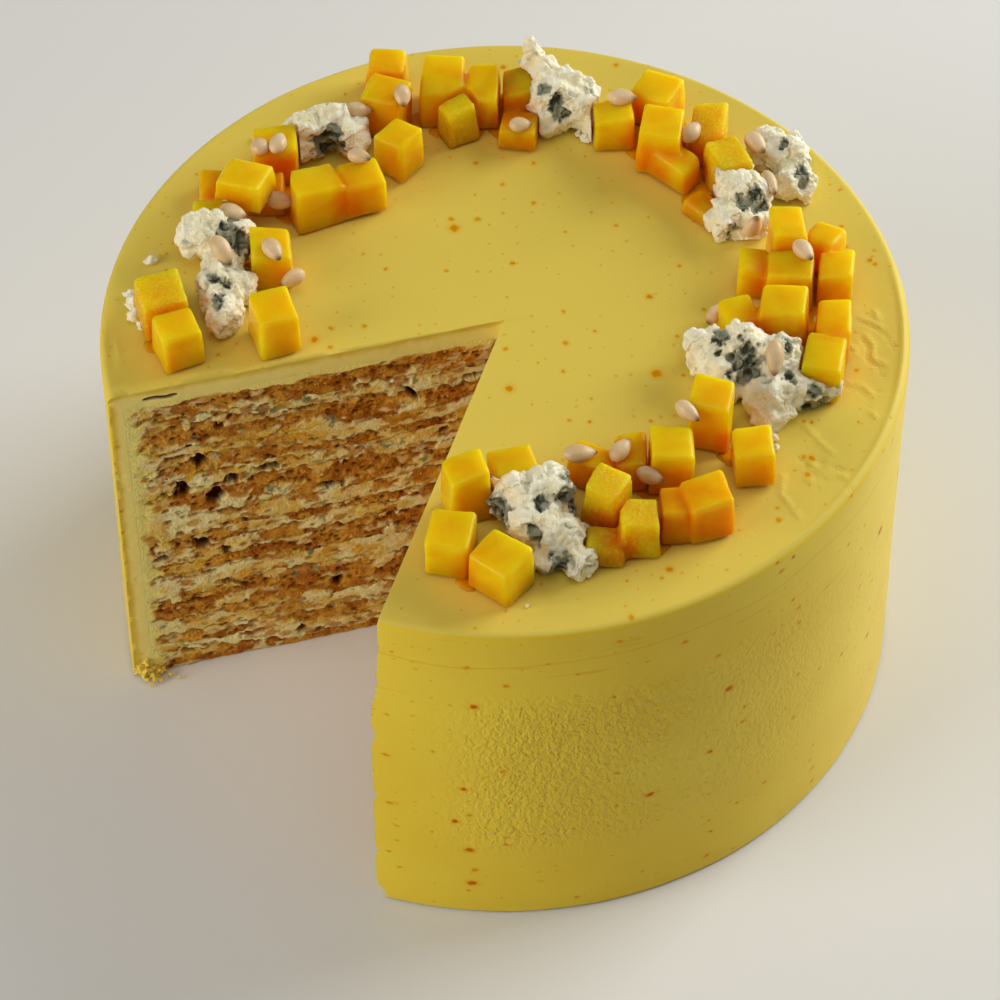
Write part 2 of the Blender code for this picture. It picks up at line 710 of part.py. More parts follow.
def settle_kernel(kernel, host):
    """Rest the kernel on its host's nearest face, lying along it."""
    bm = bmesh.new()
    bm.from_mesh(host.data)
    tree = BVHTree.FromBMesh(bm)
    bm.free()
    wanted = Vector((kernel.x, kernel.y, CAKE_HEIGHT + kernel.z))
    nearest, normal, _, _ = tree.find_nearest(wanted * MM)
    nearest = nearest / MM
    up = wanted - nearest
    if up.dot(normal) <= 0:
        up = normal
    up = up.normalized()
    place = nearest + up * (KERNEL_THICKNESS / 2 - KERNEL_SINK)
    turn = math.radians(kernel.turn)
    along = Vector((math.cos(turn), math.sin(turn), 0.0))
    along = (along - up * along.dot(up)).normalized()
    return place, along, up


def boxes_meet(first, second_points):
    """Whether an object's box and the box of some points overlap."""
    corners = np.array([v.co[:] for v in first.data.vertices]) / MM
    other = np.array(second_points)
    below = corners.min(axis=0) < other.max(axis=0)
    above = other.min(axis=0) < corners.max(axis=0)
    return bool(below.all() and above.all())


def add_kernels(toppings, material):
    """Fuse each kernel to its host and press a dent for it into whatever else it touches."""
    for kernel in KERNELS:
        host = toppings[kernel.host]
        place, along, up = settle_kernel(kernel, host)
        dent = kernel_points(kernel, place, along, up, GAP)
        for name, other in toppings.items():
            if name != kernel.host and boxes_meet(other, dent):
                apply_boolean(other, "DIFFERENCE", [finish_mesh("dent", hull(dent), material)])
        body = kernel_points(kernel, place, along, up)
        apply_boolean(host, "UNION", [finish_mesh("kernel", hull(body), material)])


# The whole cake.

def clear_scene():
    for obj in list(bpy.data.objects):
        bpy.data.objects.remove(obj)


def make_toppings():
    mango = mango_material()
    cheese = cheese_material()
    dice = pressed_dice()
    toppings = {name: make_mango(name, solids, mango) for name, solids in dice.items()}
    all_dice = [points for solids in dice.values() for points in solids]
    for name, lumps in CHEESE.items():
        near = [points for points in all_dice if die_near_lumps(points, lumps)]
        toppings[name] = make_cheese(name, lumps, cheese, near)
    part_cheese(toppings["blue_cheese_right_1"], toppings["blue_cheese_right_2"])
    add_kernels(toppings, mango)


def die_near_lumps(points, lumps):
    x, y, _ = points.mean(axis=0)
    return any(math.hypot(x - lump.x, y - lump.y) < CHEESE_REACH for lump in lumps)


def main():
    clear_scene()
    make_coat(icing_material())
    make_layers()
    make_toppings()


main()
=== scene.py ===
"""A round honey cake with one slice out, dressed for a picture.

The icing, each layer, each group of mango dice and each lump of cheese stands for the solid of the
same name. Lengths are in millimetres and angles in degrees until put_mesh makes the metres.
"""

import functools
import itertools
import math
from collections import namedtuple

import bmesh
import bpy
import numpy as np
from mathutils import Matrix, Vector, noise
from mathutils.bvhtree import BVHTree
from mathutils.geometry import delaunay_2d_cdt


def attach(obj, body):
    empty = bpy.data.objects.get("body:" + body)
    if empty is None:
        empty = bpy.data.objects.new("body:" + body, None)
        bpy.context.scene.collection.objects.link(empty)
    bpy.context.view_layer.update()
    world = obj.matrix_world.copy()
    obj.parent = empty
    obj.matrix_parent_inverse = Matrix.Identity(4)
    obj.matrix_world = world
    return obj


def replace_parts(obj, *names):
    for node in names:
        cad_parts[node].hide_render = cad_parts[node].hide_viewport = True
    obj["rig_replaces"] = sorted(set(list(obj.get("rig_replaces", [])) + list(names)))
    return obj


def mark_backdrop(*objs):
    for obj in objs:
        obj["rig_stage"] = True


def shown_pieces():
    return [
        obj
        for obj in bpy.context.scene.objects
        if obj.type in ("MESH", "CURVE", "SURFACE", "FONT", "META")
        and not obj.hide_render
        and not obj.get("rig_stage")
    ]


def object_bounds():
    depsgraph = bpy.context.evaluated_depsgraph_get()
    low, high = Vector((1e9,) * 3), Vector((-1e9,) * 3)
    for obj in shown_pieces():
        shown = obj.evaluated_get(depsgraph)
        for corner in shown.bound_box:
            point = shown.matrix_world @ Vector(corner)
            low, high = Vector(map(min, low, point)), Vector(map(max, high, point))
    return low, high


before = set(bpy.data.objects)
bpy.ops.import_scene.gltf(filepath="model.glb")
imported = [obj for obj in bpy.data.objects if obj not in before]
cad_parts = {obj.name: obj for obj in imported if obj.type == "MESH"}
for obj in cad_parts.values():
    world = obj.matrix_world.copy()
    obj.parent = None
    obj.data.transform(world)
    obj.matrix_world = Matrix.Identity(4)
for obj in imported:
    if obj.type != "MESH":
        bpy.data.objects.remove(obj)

bl_info = {
    "name": "Honey cake",
    "version": (1, 0, 0),
    "blender": (4, 5, 0),
    "location": "3D View > Sidebar > Cake",
    "description": "Builds a cut honey cake with mango, blue cheese and pine kernels",
    "category": "Add Mesh",
}

CAD_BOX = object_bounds()
MM = 0.001
SHARP_ANGLE = math.radians(75)

# The cake, its coat of icing, and the directions from the middle of the two knife cuts. The solids
# keep GAP between them; the layers' faces reach FACE_OVERLAP over the coat's cut ends, whose inner
# edges lie CAP_SINK behind the knife.
CAKE_HEIGHT = 108.0
FOOT_RADIUS = 100.0
TOP_RADIUS = 98.6
RIM_ROUNDING = 1.9
COAT_TOP_THICKNESS = 6.3
COAT_SIDE_THICKNESS = 6.0
COAT_FOOT = 0.4
COAT_UNDERSIDE = CAKE_HEIGHT - COAT_TOP_THICKNESS
COAT_INSIDE = FOOT_RADIUS - COAT_SIDE_THICKNESS
GAP = 0.3
RIGHT_CUT = -107.3
LEFT_CUT = 195.0
LAYER_EDGE = 93.98
FACE_OVERLAP = 1.2
LAYER_CLEARANCE = 0.01
LAYER_THINNEST = 0.9
FLOOR_CLEARANCE = 0.02
CAP_SINK = 0.45

# Where each line between two layers runs on the left cut: heights at LINE_STATIONS from the middle.
LINE_STATIONS = (0.0, 12.0, 30.0, 45.0, 60.0, 75.0, 92.0)
LAYER_LINES = (
    (4, 4, 4, 2.8, 3.4, 5.6, 7),
    (8, 8, 8.5, 7.2, 8, 8.2, 10),
    (13, 13, 13, 12, 12.2, 13.2, 13.6),
    (17.5, 17.5, 17, 17, 17.2, 18.2, 20),
    (29.5, 29.5, 29, 30, 31.6, 29.2, 28.6),
    (36.5, 36.5, 36, 36.4, 36.2, 37.6, 37.2),
    (44, 44.5, 45, 44.4, 42.6, 41.4, 41),
    (48, 48, 48.6, 49.4, 48, 46.8, 45.2),
    (52, 52, 52, 52.6, 52, 51, 50.8),
    (60, 60, 58, 58, 58.8, 58.4, 62.6),
    (67, 67, 68.4, 69, 69.8, 69.8, 67.2),
    (75, 74.6, 73, 72.8, 73.6, 74.2, 73),
    (77.4, 77.4, 77, 76.4, 79.4, 81.2, 78),
    (84, 83, 81, 83, 83, 84.2, 84.8),
    (89, 88.4, 90.2, 90.6, 92, 93.2, 92),
    (92.4, 93, 94.8, 94.4, 95, 95.4, 96),
)
LINE_WAVE_LENGTH = 17.0
LINE_WAVE = 0.5
LINE_WAVE_RIGHT = 1.65
LINE_RAGGEDNESS = 0.75
MIDDLE_BLEND = 14.0

# Things that show on the left cut: distance from the middle, height, half sizes and turn.
Spot = namedtuple("Spot", "kind out up half_out half_up turn", defaults=(0.0,))
FACE_NUMBERS = ("cream", "icing", "soaked", "fruit", "flake", "mould", "pore")
SPOT_ROWS = {
    "void": (
        (69.3, 92.5, 0.8, 0.7), (71.8, 89.6, 1.4, 1.2, 30), (83, 81.2, 2, 0.6), (78, 78.4, 2.4, 2.4),
        (60.2, 71.2, 3.6, 1.4, 12), (65.4, 68, 1, 0.7), (70.2, 69.6, 1.5, 2), (74.6, 64.4, 2, 2.6, 20),
        (83, 69.2, 2.6, 2.4), (87.2, 68.6, 0.9, 0.6), (87.2, 58, 1.1, 0.3), (50.2, 90.4, 2.2, 0.7),
        (30.6, 101, 1.1, 0.7), (7.6, 89.7, 3.6, 0.6), (23.6, 87.6, 0.8, 2.6, -28), (16, 72, 1.6, 1.4),
        (45.6, 59.6, 3, 1), (85, 48.4, 0.8, 0.8), (79.2, 47.8, 3.4, 1.8, 10), (89, 44.4, 2, 0.9),
        (69, 48, 0.9, 0.6), (73, 43.4, 1.4, 1.6), (78, 35.6, 2, 0.7), (85.6, 35.6, 3, 0.3, 6),
        (73.6, 31.2, 0.8, 0.8), (70, 28.6, 2.4, 0.5, 32), (82, 25.2, 3.4, 0.6, 4), (44.6, 21.4, 1.6, 1.8),
        (48, 23.6, 2, 0.7), (41.8, 27, 2.2, 0.5), (55, 5.4, 0.9, 1.4), (29.4, 43.8, 1.4, 0.9),
        (51.4, 38, 1.2, 0.7),
    ),
    "fruit": (
        (65, 79.6, 2.6, 3.4, 8), (78.2, 78, 2.6, 2.6), (54.4, 80.8, 4, 1.1), (27.6, 79.6, 4.4, 1.7),
        (31.4, 55.4, 3.5, 1.9), (21, 56.4, 4, 2.8), (51.4, 59, 3.6, 2.6), (57, 14.6, 4.2, 2.6, 5),
        (59.4, 45.6, 4.6, 2.1), (44, 9.2, 2.5, 1.7), (45.8, 34.8, 2.6, 1.6), (53.6, 25, 2.8, 2.5),
        (75, 90.4, 1.6, 1), (37, 23, 2.2, 1.6),
    ),
    "flake": (
        (80, 40, 1.2, 1.9), (80.4, 74, 1.5, 3.4, 20), (39, 32.6, 1.5, 3, -8), (9.8, 77.2, 2.1, 2.4),
        (69, 32.4, 2.4, 2), (71, 80.6, 1.6, 0.9),
    ),
    "cream": (
        (80, 92.4, 0.8, 1.5), (90.4, 81, 4.2, 5.4), (92.4, 92, 2.4, 4.4), (91, 100.4, 4.6, 2.8),
        (91.5, 71.5, 3, 3), (87.6, 59, 5.6, 5), (69.4, 62.2, 4, 3.2), (58, 62.6, 5.2, 2.6),
        (75, 71.2, 3.2, 2.2), (66.4, 69.2, 1.6, 2.2), (47.8, 82.6, 4.2, 3.4), (23.4, 82.6, 4.2, 4),
        (20, 90.6, 6, 2.8), (28.4, 89, 1.5, 1.3), (16, 66, 2.2, 2), (27, 69.6, 8.6, 1.8),
        (21.4, 62.4, 2.4, 1.9), (45, 57, 4, 2.8), (26.4, 56.4, 1.2, 3), (87.8, 29.2, 1.8, 3.6, -15),
        (72, 22.8, 4.6, 1.7), (55.2, 35.2, 4.6, 1.6), (68.4, 45, 1.8, 2.6), (89.4, 48.6, 3, 2.2),
        (49.4, 46.4, 5, 1.6), (35, 47, 4, 1.5), (33, 27, 3, 3.6), (36.4, 14.4, 3.2, 3.4),
        (51, 17.4, 4.6, 2.4), (68.6, 14.6, 5, 1.4), (57.4, 5.4, 3.8, 3.2), (80, 33.6, 3.4, 2.6),
        (5.4, 101, 3.6, 1.9), (30, 37.6, 1.8, 2),
    ),
    "crumb": (
        (36, 86, 5.6, 4.6), (14, 84, 4.6, 3), (76, 88.6, 4, 2.8), (40, 65, 6, 3.4),
    ),
    "mould": (
        (62, 93.4, 1.4, 0.9), (57.6, 92, 2, 1), (50, 93, 1, 1.5), (42.6, 92.4, 1.2, 1.5),
        (44, 83.6, 0.8, 2.8), (22.6, 92.8, 1, 1.7), (25, 90.2, 1.6, 1), (17.4, 89.4, 1, 0.8),
        (60, 63, 2.4, 1.8), (56, 61.2, 1.6, 1.4), (77, 72, 0.9, 1.2), (31, 71.2, 2.2, 1),
        (21, 63, 1.4, 1), (56, 28, 1.3, 1.3), (51, 28, 1.6, 1.2), (51.4, 35.8, 1, 1.5),
        (47.4, 47, 0.4, 2), (47.2, 12.4, 0.9, 0.9),
    ),
}
SPOTS = [Spot(kind, *row) for kind, rows in SPOT_ROWS.items() for row in rows]

# Patterns in the cut faces: the width, height and depth of one wave, a seed, and how many waves, each
# half as strong and twice as fine as the last, make it up.
Pattern = namedtuple("Pattern", "width height depth seed waves")
FACE_PATTERNS = {
    "smear": Pattern(6.0, 3.2, 6.0, 171, 5),
    "dab": Pattern(4.4, 2.2, 4.4, 177, 5),
    "ragged": Pattern(6.0, 3.0, 6.0, 165, 4),
    "crumb": Pattern(1.9, 1.4, 1.9, 191, 5),
    "fine": Pattern(0.8, 0.8, 0.8, 201, 2),
    "swell": Pattern(9.0, 4.0, 9.0, 231, 1),
    "cream": Pattern(3.0, 2.0, 3.0, 251, 3),
    "seam": Pattern(5.0, 30.0, 5.0, 261, 4),
    "overhang": Pattern(4.0, 2.0, 4.0, 265, 3),
    "fleck": Pattern(1.7, 1.7, 1.7, 271, 3),
    "mould": Pattern(1.1, 1.1, 1.1, 281, 4),
    "soaked": Pattern(7.0, 3.6, 7.0, 285, 5),
}

# Holes and bits scattered over the cut faces: how far apart they lie, how far from the middle of each
# it ends and is whole, from which of their own numbers up there is one, and a seed.
Scatter = namedtuple("Scatter", "width height rim whole least seed")
FACE_SCATTERS = {
    "large_pore": Scatter(2.7, 1.5, 0.42, 0.12, 0.6, 211),
    "small_pore": Scatter(1.15, 0.85, 0.5, 0.15, 0.35, 221),
    "tear": Scatter(5.5, 2.8, 0.25, 0.1, 0.75, 241),
    "bit": Scatter(4.6, 3.4, 0.42, 0.3, 0.72, 245),
}

# How deep things lie behind the knife's plane.
CRUMB_DEPTH = 0.55
CREAM_DEPTH = 0.4
EDGE_DEPTH = 0.45
FRUIT_DEPTH = 0.3
PORE_DEPTH = 0.7
SMALL_PORE_DEPTH = 0.3
TEAR_DEPTH = 0.6
SEAM_DEPTH = 0.4
OVERHANG_DEPTH = 0.45
VOID_DEPTH = 2.4
DEEPEST = 4.2

# Mango dice by their side of the cake: where each stands, its size, turn, lean to the front and lift
# above the icing. Dice in one pair of square brackets are pressed into one another.
Die = namedtuple("Die", "x y width depth height turn lean lift", defaults=(0.0, 0.0))
DIE_ROWS = {
    "left": (
        [(-78.5, -12, 11, 10.5, 12.5, 24)], [(-83, -0.5, 12.5, 13, 12.5, 18)],
        [(-55.5, -7, 11.5, 12, 13.5, 19)], [(-57, 15, 11, 12, 12.5, 6)], [(-71, 25.5, 12.5, 12, 11, 2)],
        [(-64.5, 34.5, 13, 13.5, 10.5, -21, 0, 5.5)],
        [(-70, 41.5, 13.5, 11.5, 5.5, 0), (-59, 39.5, 12.5, 9.5, 9, 2)], [(-57.5, 51, 12, 12, 12.5, 4)],
        [(-47, 36, 14.5, 12, 13.5, 23), (-35.5, 39, 11.5, 9.5, 12, 20)],
    ),
    "back": (
        [(-30, 79.5, 11, 11, 12.5, -6), (-30, 67.5, 11.5, 11.5, 14, -22)],
        [(-26.5, 52.5, 10, 10, 13, -38)],
        [(-15.5, 73, 11.5, 14, 14, -4), (-4.5, 71, 10.5, 14, 12.5, -2, 14)],
        [(-11.5, 64.5, 10.5, 9, 12.5, 30)], [(3, 73, 9, 12, 11.5, 8), (3.5, 62.5, 10.5, 10, 7, -8)],
    ),
    "far": (
        [(27.5, 62.5, 11, 10.5, 11, 3)], [(38.5, 70, 12.5, 11, 12, -30)],
        [(39.5, 54.5, 12.5, 13.5, 15, -9, 6), (41.5, 49.5, 17, 8.5, 9.5, -41)],
        [(55.5, 44.5, 10.5, 13, 14, 20), (51, 58, 10.5, 14, 12, -8)], [(50.5, 35, 12.5, 8, 5, -43)],
    ),
    "right": (
        [(70, 18.5, 10.5, 12.5, 15.5, 6)], [(78, 19, 9.5, 9.5, 11, -35), (80.5, 8, 9.5, 11, 12, -5)],
        [(69.5, 8, 13, 11.5, 12, -6), (60.5, 10.5, 8, 9.5, 10.5, -5)],
        [(67, -5, 13, 11.5, 13, -8), (56.5, -5.5, 9, 9.5, 10, 17)],
        [(79, -9.5, 9, 13, 12, -5), (76, -21.5, 10.5, 13.5, 12.5, -12)],
    ),
    "front": (
        [(48.5, -38.5, 10.5, 10, 17, -12)], [(58, -49.5, 10, 10.5, 12, 5)],
        [(38.5, -51.5, 11.5, 11, 14.5, 0)],
        [(46.5, -65.5, 11.5, 11.5, 13, 18), (38.5, -66.5, 7.5, 11, 11, 4)],
        [(29.5, -50.5, 8, 11.5, 10.5, 5), (20.5, -52, 12, 8.5, 10, -28)],
        [(31, -71, 10.5, 10.5, 12, 5), (23, -74.5, 10, 9, 7, 0)], [(24.5, -64, 11.5, 10.5, 15, -28)],
        [(2, -54.5, 12, 10, 11, 19)], [(-9, -60.5, 11, 10, 16, 18)], [(-12.5, -75.5, 11, 12.5, 12, -11)],
        [(-1, -83, 12.5, 11, 12.5, -37)],
    ),
}
DICE = {
    f"mango_{side}_{number}": [Die(*row) for row in rows]
    for side, nodes in DIE_ROWS.items()
    for number, rows in enumerate(nodes, 1)
}
DIE_ROUNDING = 0.7
DIE_VOXEL = 0.45
TOPPING_GAP = 0.12
DIE_UNEVENNESS = 0.5
DIE_TAPER = 0.03
DIE_TAPER_SPREAD = 0.1
DIE_CORNER_PULL = 0.035
DIE_TILT = 1.9
DIE_SIZE = 13.0
CLOSE_GAP = 5.0

# A film of painted glow between the dice, an orange sheet that stands in for light through the flesh: its
# net, how deep it is, the gaps in which it begins and is deepest, the least amount that covers the icing, and
# the amount at which it stands level with the icing.
GLOW_STEP = 0.5
GLOW_DEPTH = 0.7
GLOW_GAP = (4.0, 1.8)
GLOW_LEAST = 0.1
GLOW_LEVEL = 0.35
FLAT_ANGLE = 0.2
FIBROUS_DICE = ("mango_left_2", "mango_back_4", "mango_far_4", "mango_front_7", "mango_front_6")
DEEP_DICE = (
    "mango_left_7", "mango_left_8", "mango_back_1", "mango_back_5", "mango_far_5", "mango_front_4",
    "mango_front_5",
)

# Blue cheese: the lumps of each heap, their middles (z above the icing) and half sizes.
Lump = namedtuple("Lump", "x y z half_x half_y half_z")
LUMP_ROWS = {
    "blue_cheese_left": (
        (-73, 21, 8, 8.5, 5.5, 6.5), (-65.5, 20, 7.5, 4.5, 4.5, 6.5), (-69, 12, 5, 5.5, 6, 6),
        (-69, 4, 6, 6, 6, 7), (-68, -3, 4.5, 4, 5.5, 5.5), (-64, 5.5, 5, 4, 3.5, 5),
    ),
    "blue_cheese_back": (
        (-50, 58, 6, 6, 5.5, 7), (-43.5, 60.5, 7, 6.5, 5.5, 7.5), (-38.5, 58, 6, 4.5, 5, 6),
    ),
    "blue_cheese_far": (
        (13.5, 71, 7, 9, 6.5, 8.5), (7, 77.5, 11, 3, 3, 13), (10.5, 74, 10, 4, 4, 8),
        (19.5, 69.5, 6, 5, 6.5, 7), (11, 65.5, 4, 5.5, 3.5, 5), (22.5, 63.5, 2.5, 2.5, 3.5, 3.5),
    ),
    "blue_cheese_right_1": (
        (67, 52, 6, 5.5, 6, 7), (72, 50.5, 5.5, 5.5, 7, 6), (72, 43.5, 4, 6, 5.5, 5),
    ),
    "blue_cheese_right_2": (
        (57.5, 37.5, 7, 4.5, 5, 7), (61.5, 35, 6.5, 5, 5, 6.5), (55.5, 30.5, 4.5, 4.5, 5, 5.5),
        (61, 29.5, 4, 5, 4.5, 4.5),
    ),
    "blue_cheese_large": (
        (49, -16.5, 6, 6, 6, 7), (57, -17, 7, 7, 6.5, 7.5), (65, -20, 6.5, 7, 6.5, 7.5),
        (71, -26.5, 4, 7.5, 4.5, 5.5), (63, -29, 4.5, 7, 6, 6), (52, -23.5, 5, 5.5, 6, 6),
        (63.5, -34, 2.5, 5, 3.5, 3.5),
    ),
    "blue_cheese_front": (
        (2, -62.5, 6.5, 6, 6, 7), (10.5, -62, 7.5, 6.5, 6, 8), (7, -70, 6, 7.5, 6, 7),
        (13, -73, 5, 6.5, 6, 6), (17, -79, 3.5, 4.5, 4.5, 4.5), (9.5, -78.5, 3, 4.5, 3.5, 4),
    ),
}
CHEESE = {node: [Lump(*row) for row in rows] for node, rows in LUMP_ROWS.items()}
CHEESE_VOXEL = 0.6
CURD_VOXEL = 0.42
CRAG_HEIGHT = 1.7
CRAG_SIZE = 4.2
CURD_SIZE = 2.9
CRUMB_SIZE = 1.1
FLAKE_SIZE = 4.6

# Patches of blue mould on the cheese: middles, z above the icing, and how far they reach.
Mould = namedtuple("Mould", "x y z reach")
MOULDS = [Mould(*row) for row in (
    (-66.5, 17.5, 11, 2.8), (-70.5, 4, 9, 1.6), (-69, -2.5, 8, 1.8), (-67.5, 3, 9, 1.4),
    (-42.5, 62, 12, 2), (-43, 56, 9, 1.6), (-44.5, 53.5, 5, 3.2), (9.5, 67, 17, 1.3),
    (9.5, 66.5, 14, 1.3), (14, 64, 9, 1.8), (70, 50, 10, 1.3), (73.5, 42.5, 7, 1.8), (61, 31, 9, 2.4),
    (56.5, 22, 4, 2), (51.5, -17.5, 11, 2), (57.5, -23, 10, 3.4), (57, -25, 7, 2.4), (66.5, -20, 11, 2),
    (67.5, -28, 6, 1.8), (73.5, -29, 3, 2.4), (8, -69.5, 11, 1.8), (15, -63, 10, 3.2),
    (-2.5, -67.5, 8, 3), (6.5, -75.5, 10, 1.5), (12, -80.5, 4, 2),
)]

# Pine kernels: what each lies on, its middle (z above the icing), its length and its turn.
Kernel = namedtuple("Kernel", "host x y z length turn")
KERNEL_ROWS = {
    "blue_cheese_back": [(-36.5, 63.5, 12, 8, 25)],
    "mango_left_8": [(-61, 47.5, 14.5, 6, 100), (-56.5, 48, 14.5, 7.5, 80)],
    "mango_left_9": [(-36, 43.5, 14, 7, -35)],
    "mango_left_5": [(-66.5, 25, 13.5, 7.5, -20)],
    "mango_left_7": [(-55.5, 33, 7, 7.5, -40)],
    "blue_cheese_left": [(-68.5, 12, 12.5, 8.5, -55)],
    "mango_left_4": [(-56, 11.5, 15, 7.5, -60), (-51, 7, 5.5, 7, -75)],
    "mango_back_1": [(-25, 63.5, 15, 6.5, -75)],
    "mango_back_5": [(4, 60, 9, 6, 0)],
    "mango_far_1": [(29.5, 66, 13, 8, -15)],
    "mango_far_4": [(46.5, 53, 13, 7, 50)],
    "blue_cheese_right_1": [(63, 49.5, 11, 7.5, -60)],
    "blue_cheese_right_2": [(65, 37, 9.5, 8.5, -75), (61.5, 24.5, 6.5, 8, -60)],
    "mango_right_3": [(72.5, 10.5, 14.5, 7.5, -60)],
    "mango_right_4": [(51, -2, 3.5, 6.5, -45)],
    "blue_cheese_large": [(64, -25, 13.5, 9, -70)],
    "mango_front_1": [(43, -42.5, 14.5, 7.5, 25)],
    "mango_front_5": [(17.5, -52.5, 12.5, 8.5, 8), (26.5, -51.5, 12, 7, 50)],
    "mango_front_3": [(34, -57, 8.5, 7.5, 40)],
}
KERNELS = [Kernel(host, *row) for host, rows in KERNEL_ROWS.items() for row in rows]
KERNEL_WIDTH = 4.5
KERNEL_THICKNESS = 3.9

# Loose crumbs of cheese on the icing: place and size.
CHEESE_CRUMBS = (
    (-91.5, 8.0, 3.2), (-90.5, 4.5, 4.6), (-89.5, 0.5, 5.0), (-88.0, -2.5, 3.4), (-87.0, 19.5, 3.4),
    (20.5, 62.0, 3.0), (19.0, 64.0, 2.6), (-63.0, 62.5, 2.0), (64.0, -42.0, 2.0), (63.0, -39.0, 3.0),
    (61.0, -40.5, 1.4), (-60.5, -1.5, 1.3), (5.0, -89.5, 1.0),
)

# Crumbs of icing at the foot of the left cut: how far out along it, how far before it, how high, size.
ICING_CRUMBS = (
    (98.2, -0.4, 0.7, 3.5), (97.4, 0.6, 1.4, 4.1), (96.0, 0.9, 0.8, 3.5), (97.6, 0.2, 3.4, 3.2),
    (95.2, 0.4, 2.6, 2.4), (94.0, 0.8, 0.7, 2.7), (96.4, 0.1, 5.4, 2.3), (92.6, 0.5, 0.5, 1.9),
    (97.2, 2.4, 0.4, 1.8), (95.0, 2.6, 0.4, 2.0), (93.4, 3.4, 0.3, 1.2), (96.4, 4.2, 0.3, 1.1),
    (90.8, 2.2, 0.3, 1.2), (88.6, 3.6, 0.3, 0.9),
)

# Crumbs strewn over the cut faces: piece, the layers they lie on, material, slot, whether they are
# cream (1) or sponge (0), how many to a square metre, and a seed.
STREWN_CRUMBS = (
    ("sponge_crumbs", "sponge_layer", "baked_honey_sponge", "honey_sponge", 0.0, 130000.0, 5),
    ("cream_curds", "cream_layer", "whipped_cheese_cream", "pale_cream", 1.0, 20000.0, 6),
)
CRUMB_SOAKED = 0.6
CRUMB_PALENESS = 0.35
CRUMB_HALF = 0.65

# Marks in the top of the icing: height (below nought is a dent), half width, and where each runs.
Mark = namedtuple("Mark", "height width path")
MARKS = [Mark(*row) for row in (
    (0.3, 0.5, ((-1.0, -0.3), (3.0, 0.8), (6.5, 1.8))),
    (0.1, 0.6, ((15.0, 62.5), (20.5, 57.0), (23.4, 48.0), (23.0, 36.0))),
    (0.2, 0.5, ((65.3, -50.3), (64.5, -55.9), (66.5, -59.2), (68.4, -62.9))),
    (0.16, 0.5, ((71.0, -34.3), (73.4, -37.8), (75.2, -40.7), (77.2, -42.9))),
    (-0.4, 0.6, ((69.3, -45.0), (69.9, -45.4))), (-0.4, 0.5, ((70.6, -47.2), (71.0, -48.2))),
    (0.25, 0.5, ((71.8, -45.9), (72.4, -46.8))), (-0.5, 0.6, ((74.0, -45.8), (74.9, -46.4))),
    (-0.4, 0.5, ((72.6, -49.1), (73.0, -49.8))), (-0.35, 0.5, ((74.6, -51.3), (75.2, -51.6))),
    (0.25, 0.5, ((71.1, -51.6), (71.9, -52.2))), (-0.35, 0.5, ((73.0, -54.0), (73.5, -54.2))),
    (-0.5, 0.6, ((77.6, -47.6), (78.5, -48.5), (79.6, -48.4))), (0.25, 0.5, ((78.9, -50.0), (80.2, -51.0))),
    (-0.35, 0.6, ((79.1, -54.0), (80.0, -54.3), (81.6, -54.2))),
    (-0.4, 0.5, ((86.0, -0.9), (88.3, -1.9), (91.0, -3.9), (92.8, -6.3))),
    (0.2, 0.5, ((86.6, 0.2), (89.0, -0.8), (91.6, -2.9))),
    (-0.45, 0.55, ((86.5, -6.9), (87.8, -9.5), (87.2, -11.8), (87.5, -13.8), (89.3, -15.4), (91.2, -15.8))),
    (0.25, 0.5, ((87.6, -5.6), (89.2, -8.6), (88.8, -11.6), (89.2, -13.6), (91.4, -14.4))),
    (-0.28, 0.6, ((81.5, -22.5), (84.3, -22.9), (86.1, -25.1), (87.2, -29.6))),
    (0.22, 0.5, ((82.6, -20.9), (85.6, -21.6), (87.8, -24.4))),
    (0.3, 0.5, ((82.8, -8.6), (84.6, -9.4), (84.8, -11.4), (83.2, -12.2))),
    (0.4, 0.6, ((87.4, -30.6), (88.0, -31.6))), (-0.4, 0.6, ((90.2, -17.4), (90.6, -18.8))),
    (-0.4, 0.5, ((93.4, -7.9), (93.9, -9.4))), (0.3, 0.6, ((90.8, 0.4), (90.2, 2.6))),
    (-0.35, 0.5, ((89.1, -23.2), (89.6, -24.4))), (-0.55, 0.8, ((-96.6, -8.2), (-95.2, -10.2))),
    (0.3, 0.6, ((-94.8, -7.6), (-93.6, -9.6))), (-0.16, 0.7, ((54.0, -70.4), (58.0, -67.6))),
)]
MARK_DEPTH = 0.75
MARK_REACH = 1.0

# Where the icing's side is pebbled: the heights and the ways round, in degrees, between which the
# pebbles set in or fade, and how wide and high one pebble is.
PEBBLES_SET_IN = (20, 34)
PEBBLES_FADE_OUT = (90, 76)
PEBBLES_FROM_CUT = (-104, -86)
PEBBLES_WEAKEN = (-64, -38)
BACK_BEGINS = (-20, 10)
PEBBLE_WIDTH = 1.5
PEBBLE_HEIGHT = 1.9

# The scraper's ridge along the right rim: the ways round between which it rises and falls, its width.
LIP_RISES = (-74, -30)
LIP_FALLS = (14, 2)
LIP_WIDTH = 0.6

# The icing's right cut edge: the heights between which the knife dragged it out, and how far from
# the cut the drag and the crags reach.
DRAG_BELOW = (102, 66)
DRAG_ABOVE = (0.5, 7)
DRAG_REACH = 5.5
CRAG_REACH = 1.1

# Specks of fruit in the icing: how far apart they can be, how far each reaches, in what share of
# the places there is one, and how strong it is.
Speck = namedtuple("Speck", "spacing reach share strength")
SPECKS = (
    Speck(3.4, 0.7, 0.22, 0.35),
    Speck(7.0, 1.1, 0.26, 0.6),
    Speck(17.0, 1.7, 0.34, 1.0),
)
STAINS = (
    Speck(7.0, 2.0, 0.26, 0.2),
    Speck(17.0, 3.2, 0.34, 0.4),
)
LONG_LINE_HEIGHT = 97.3

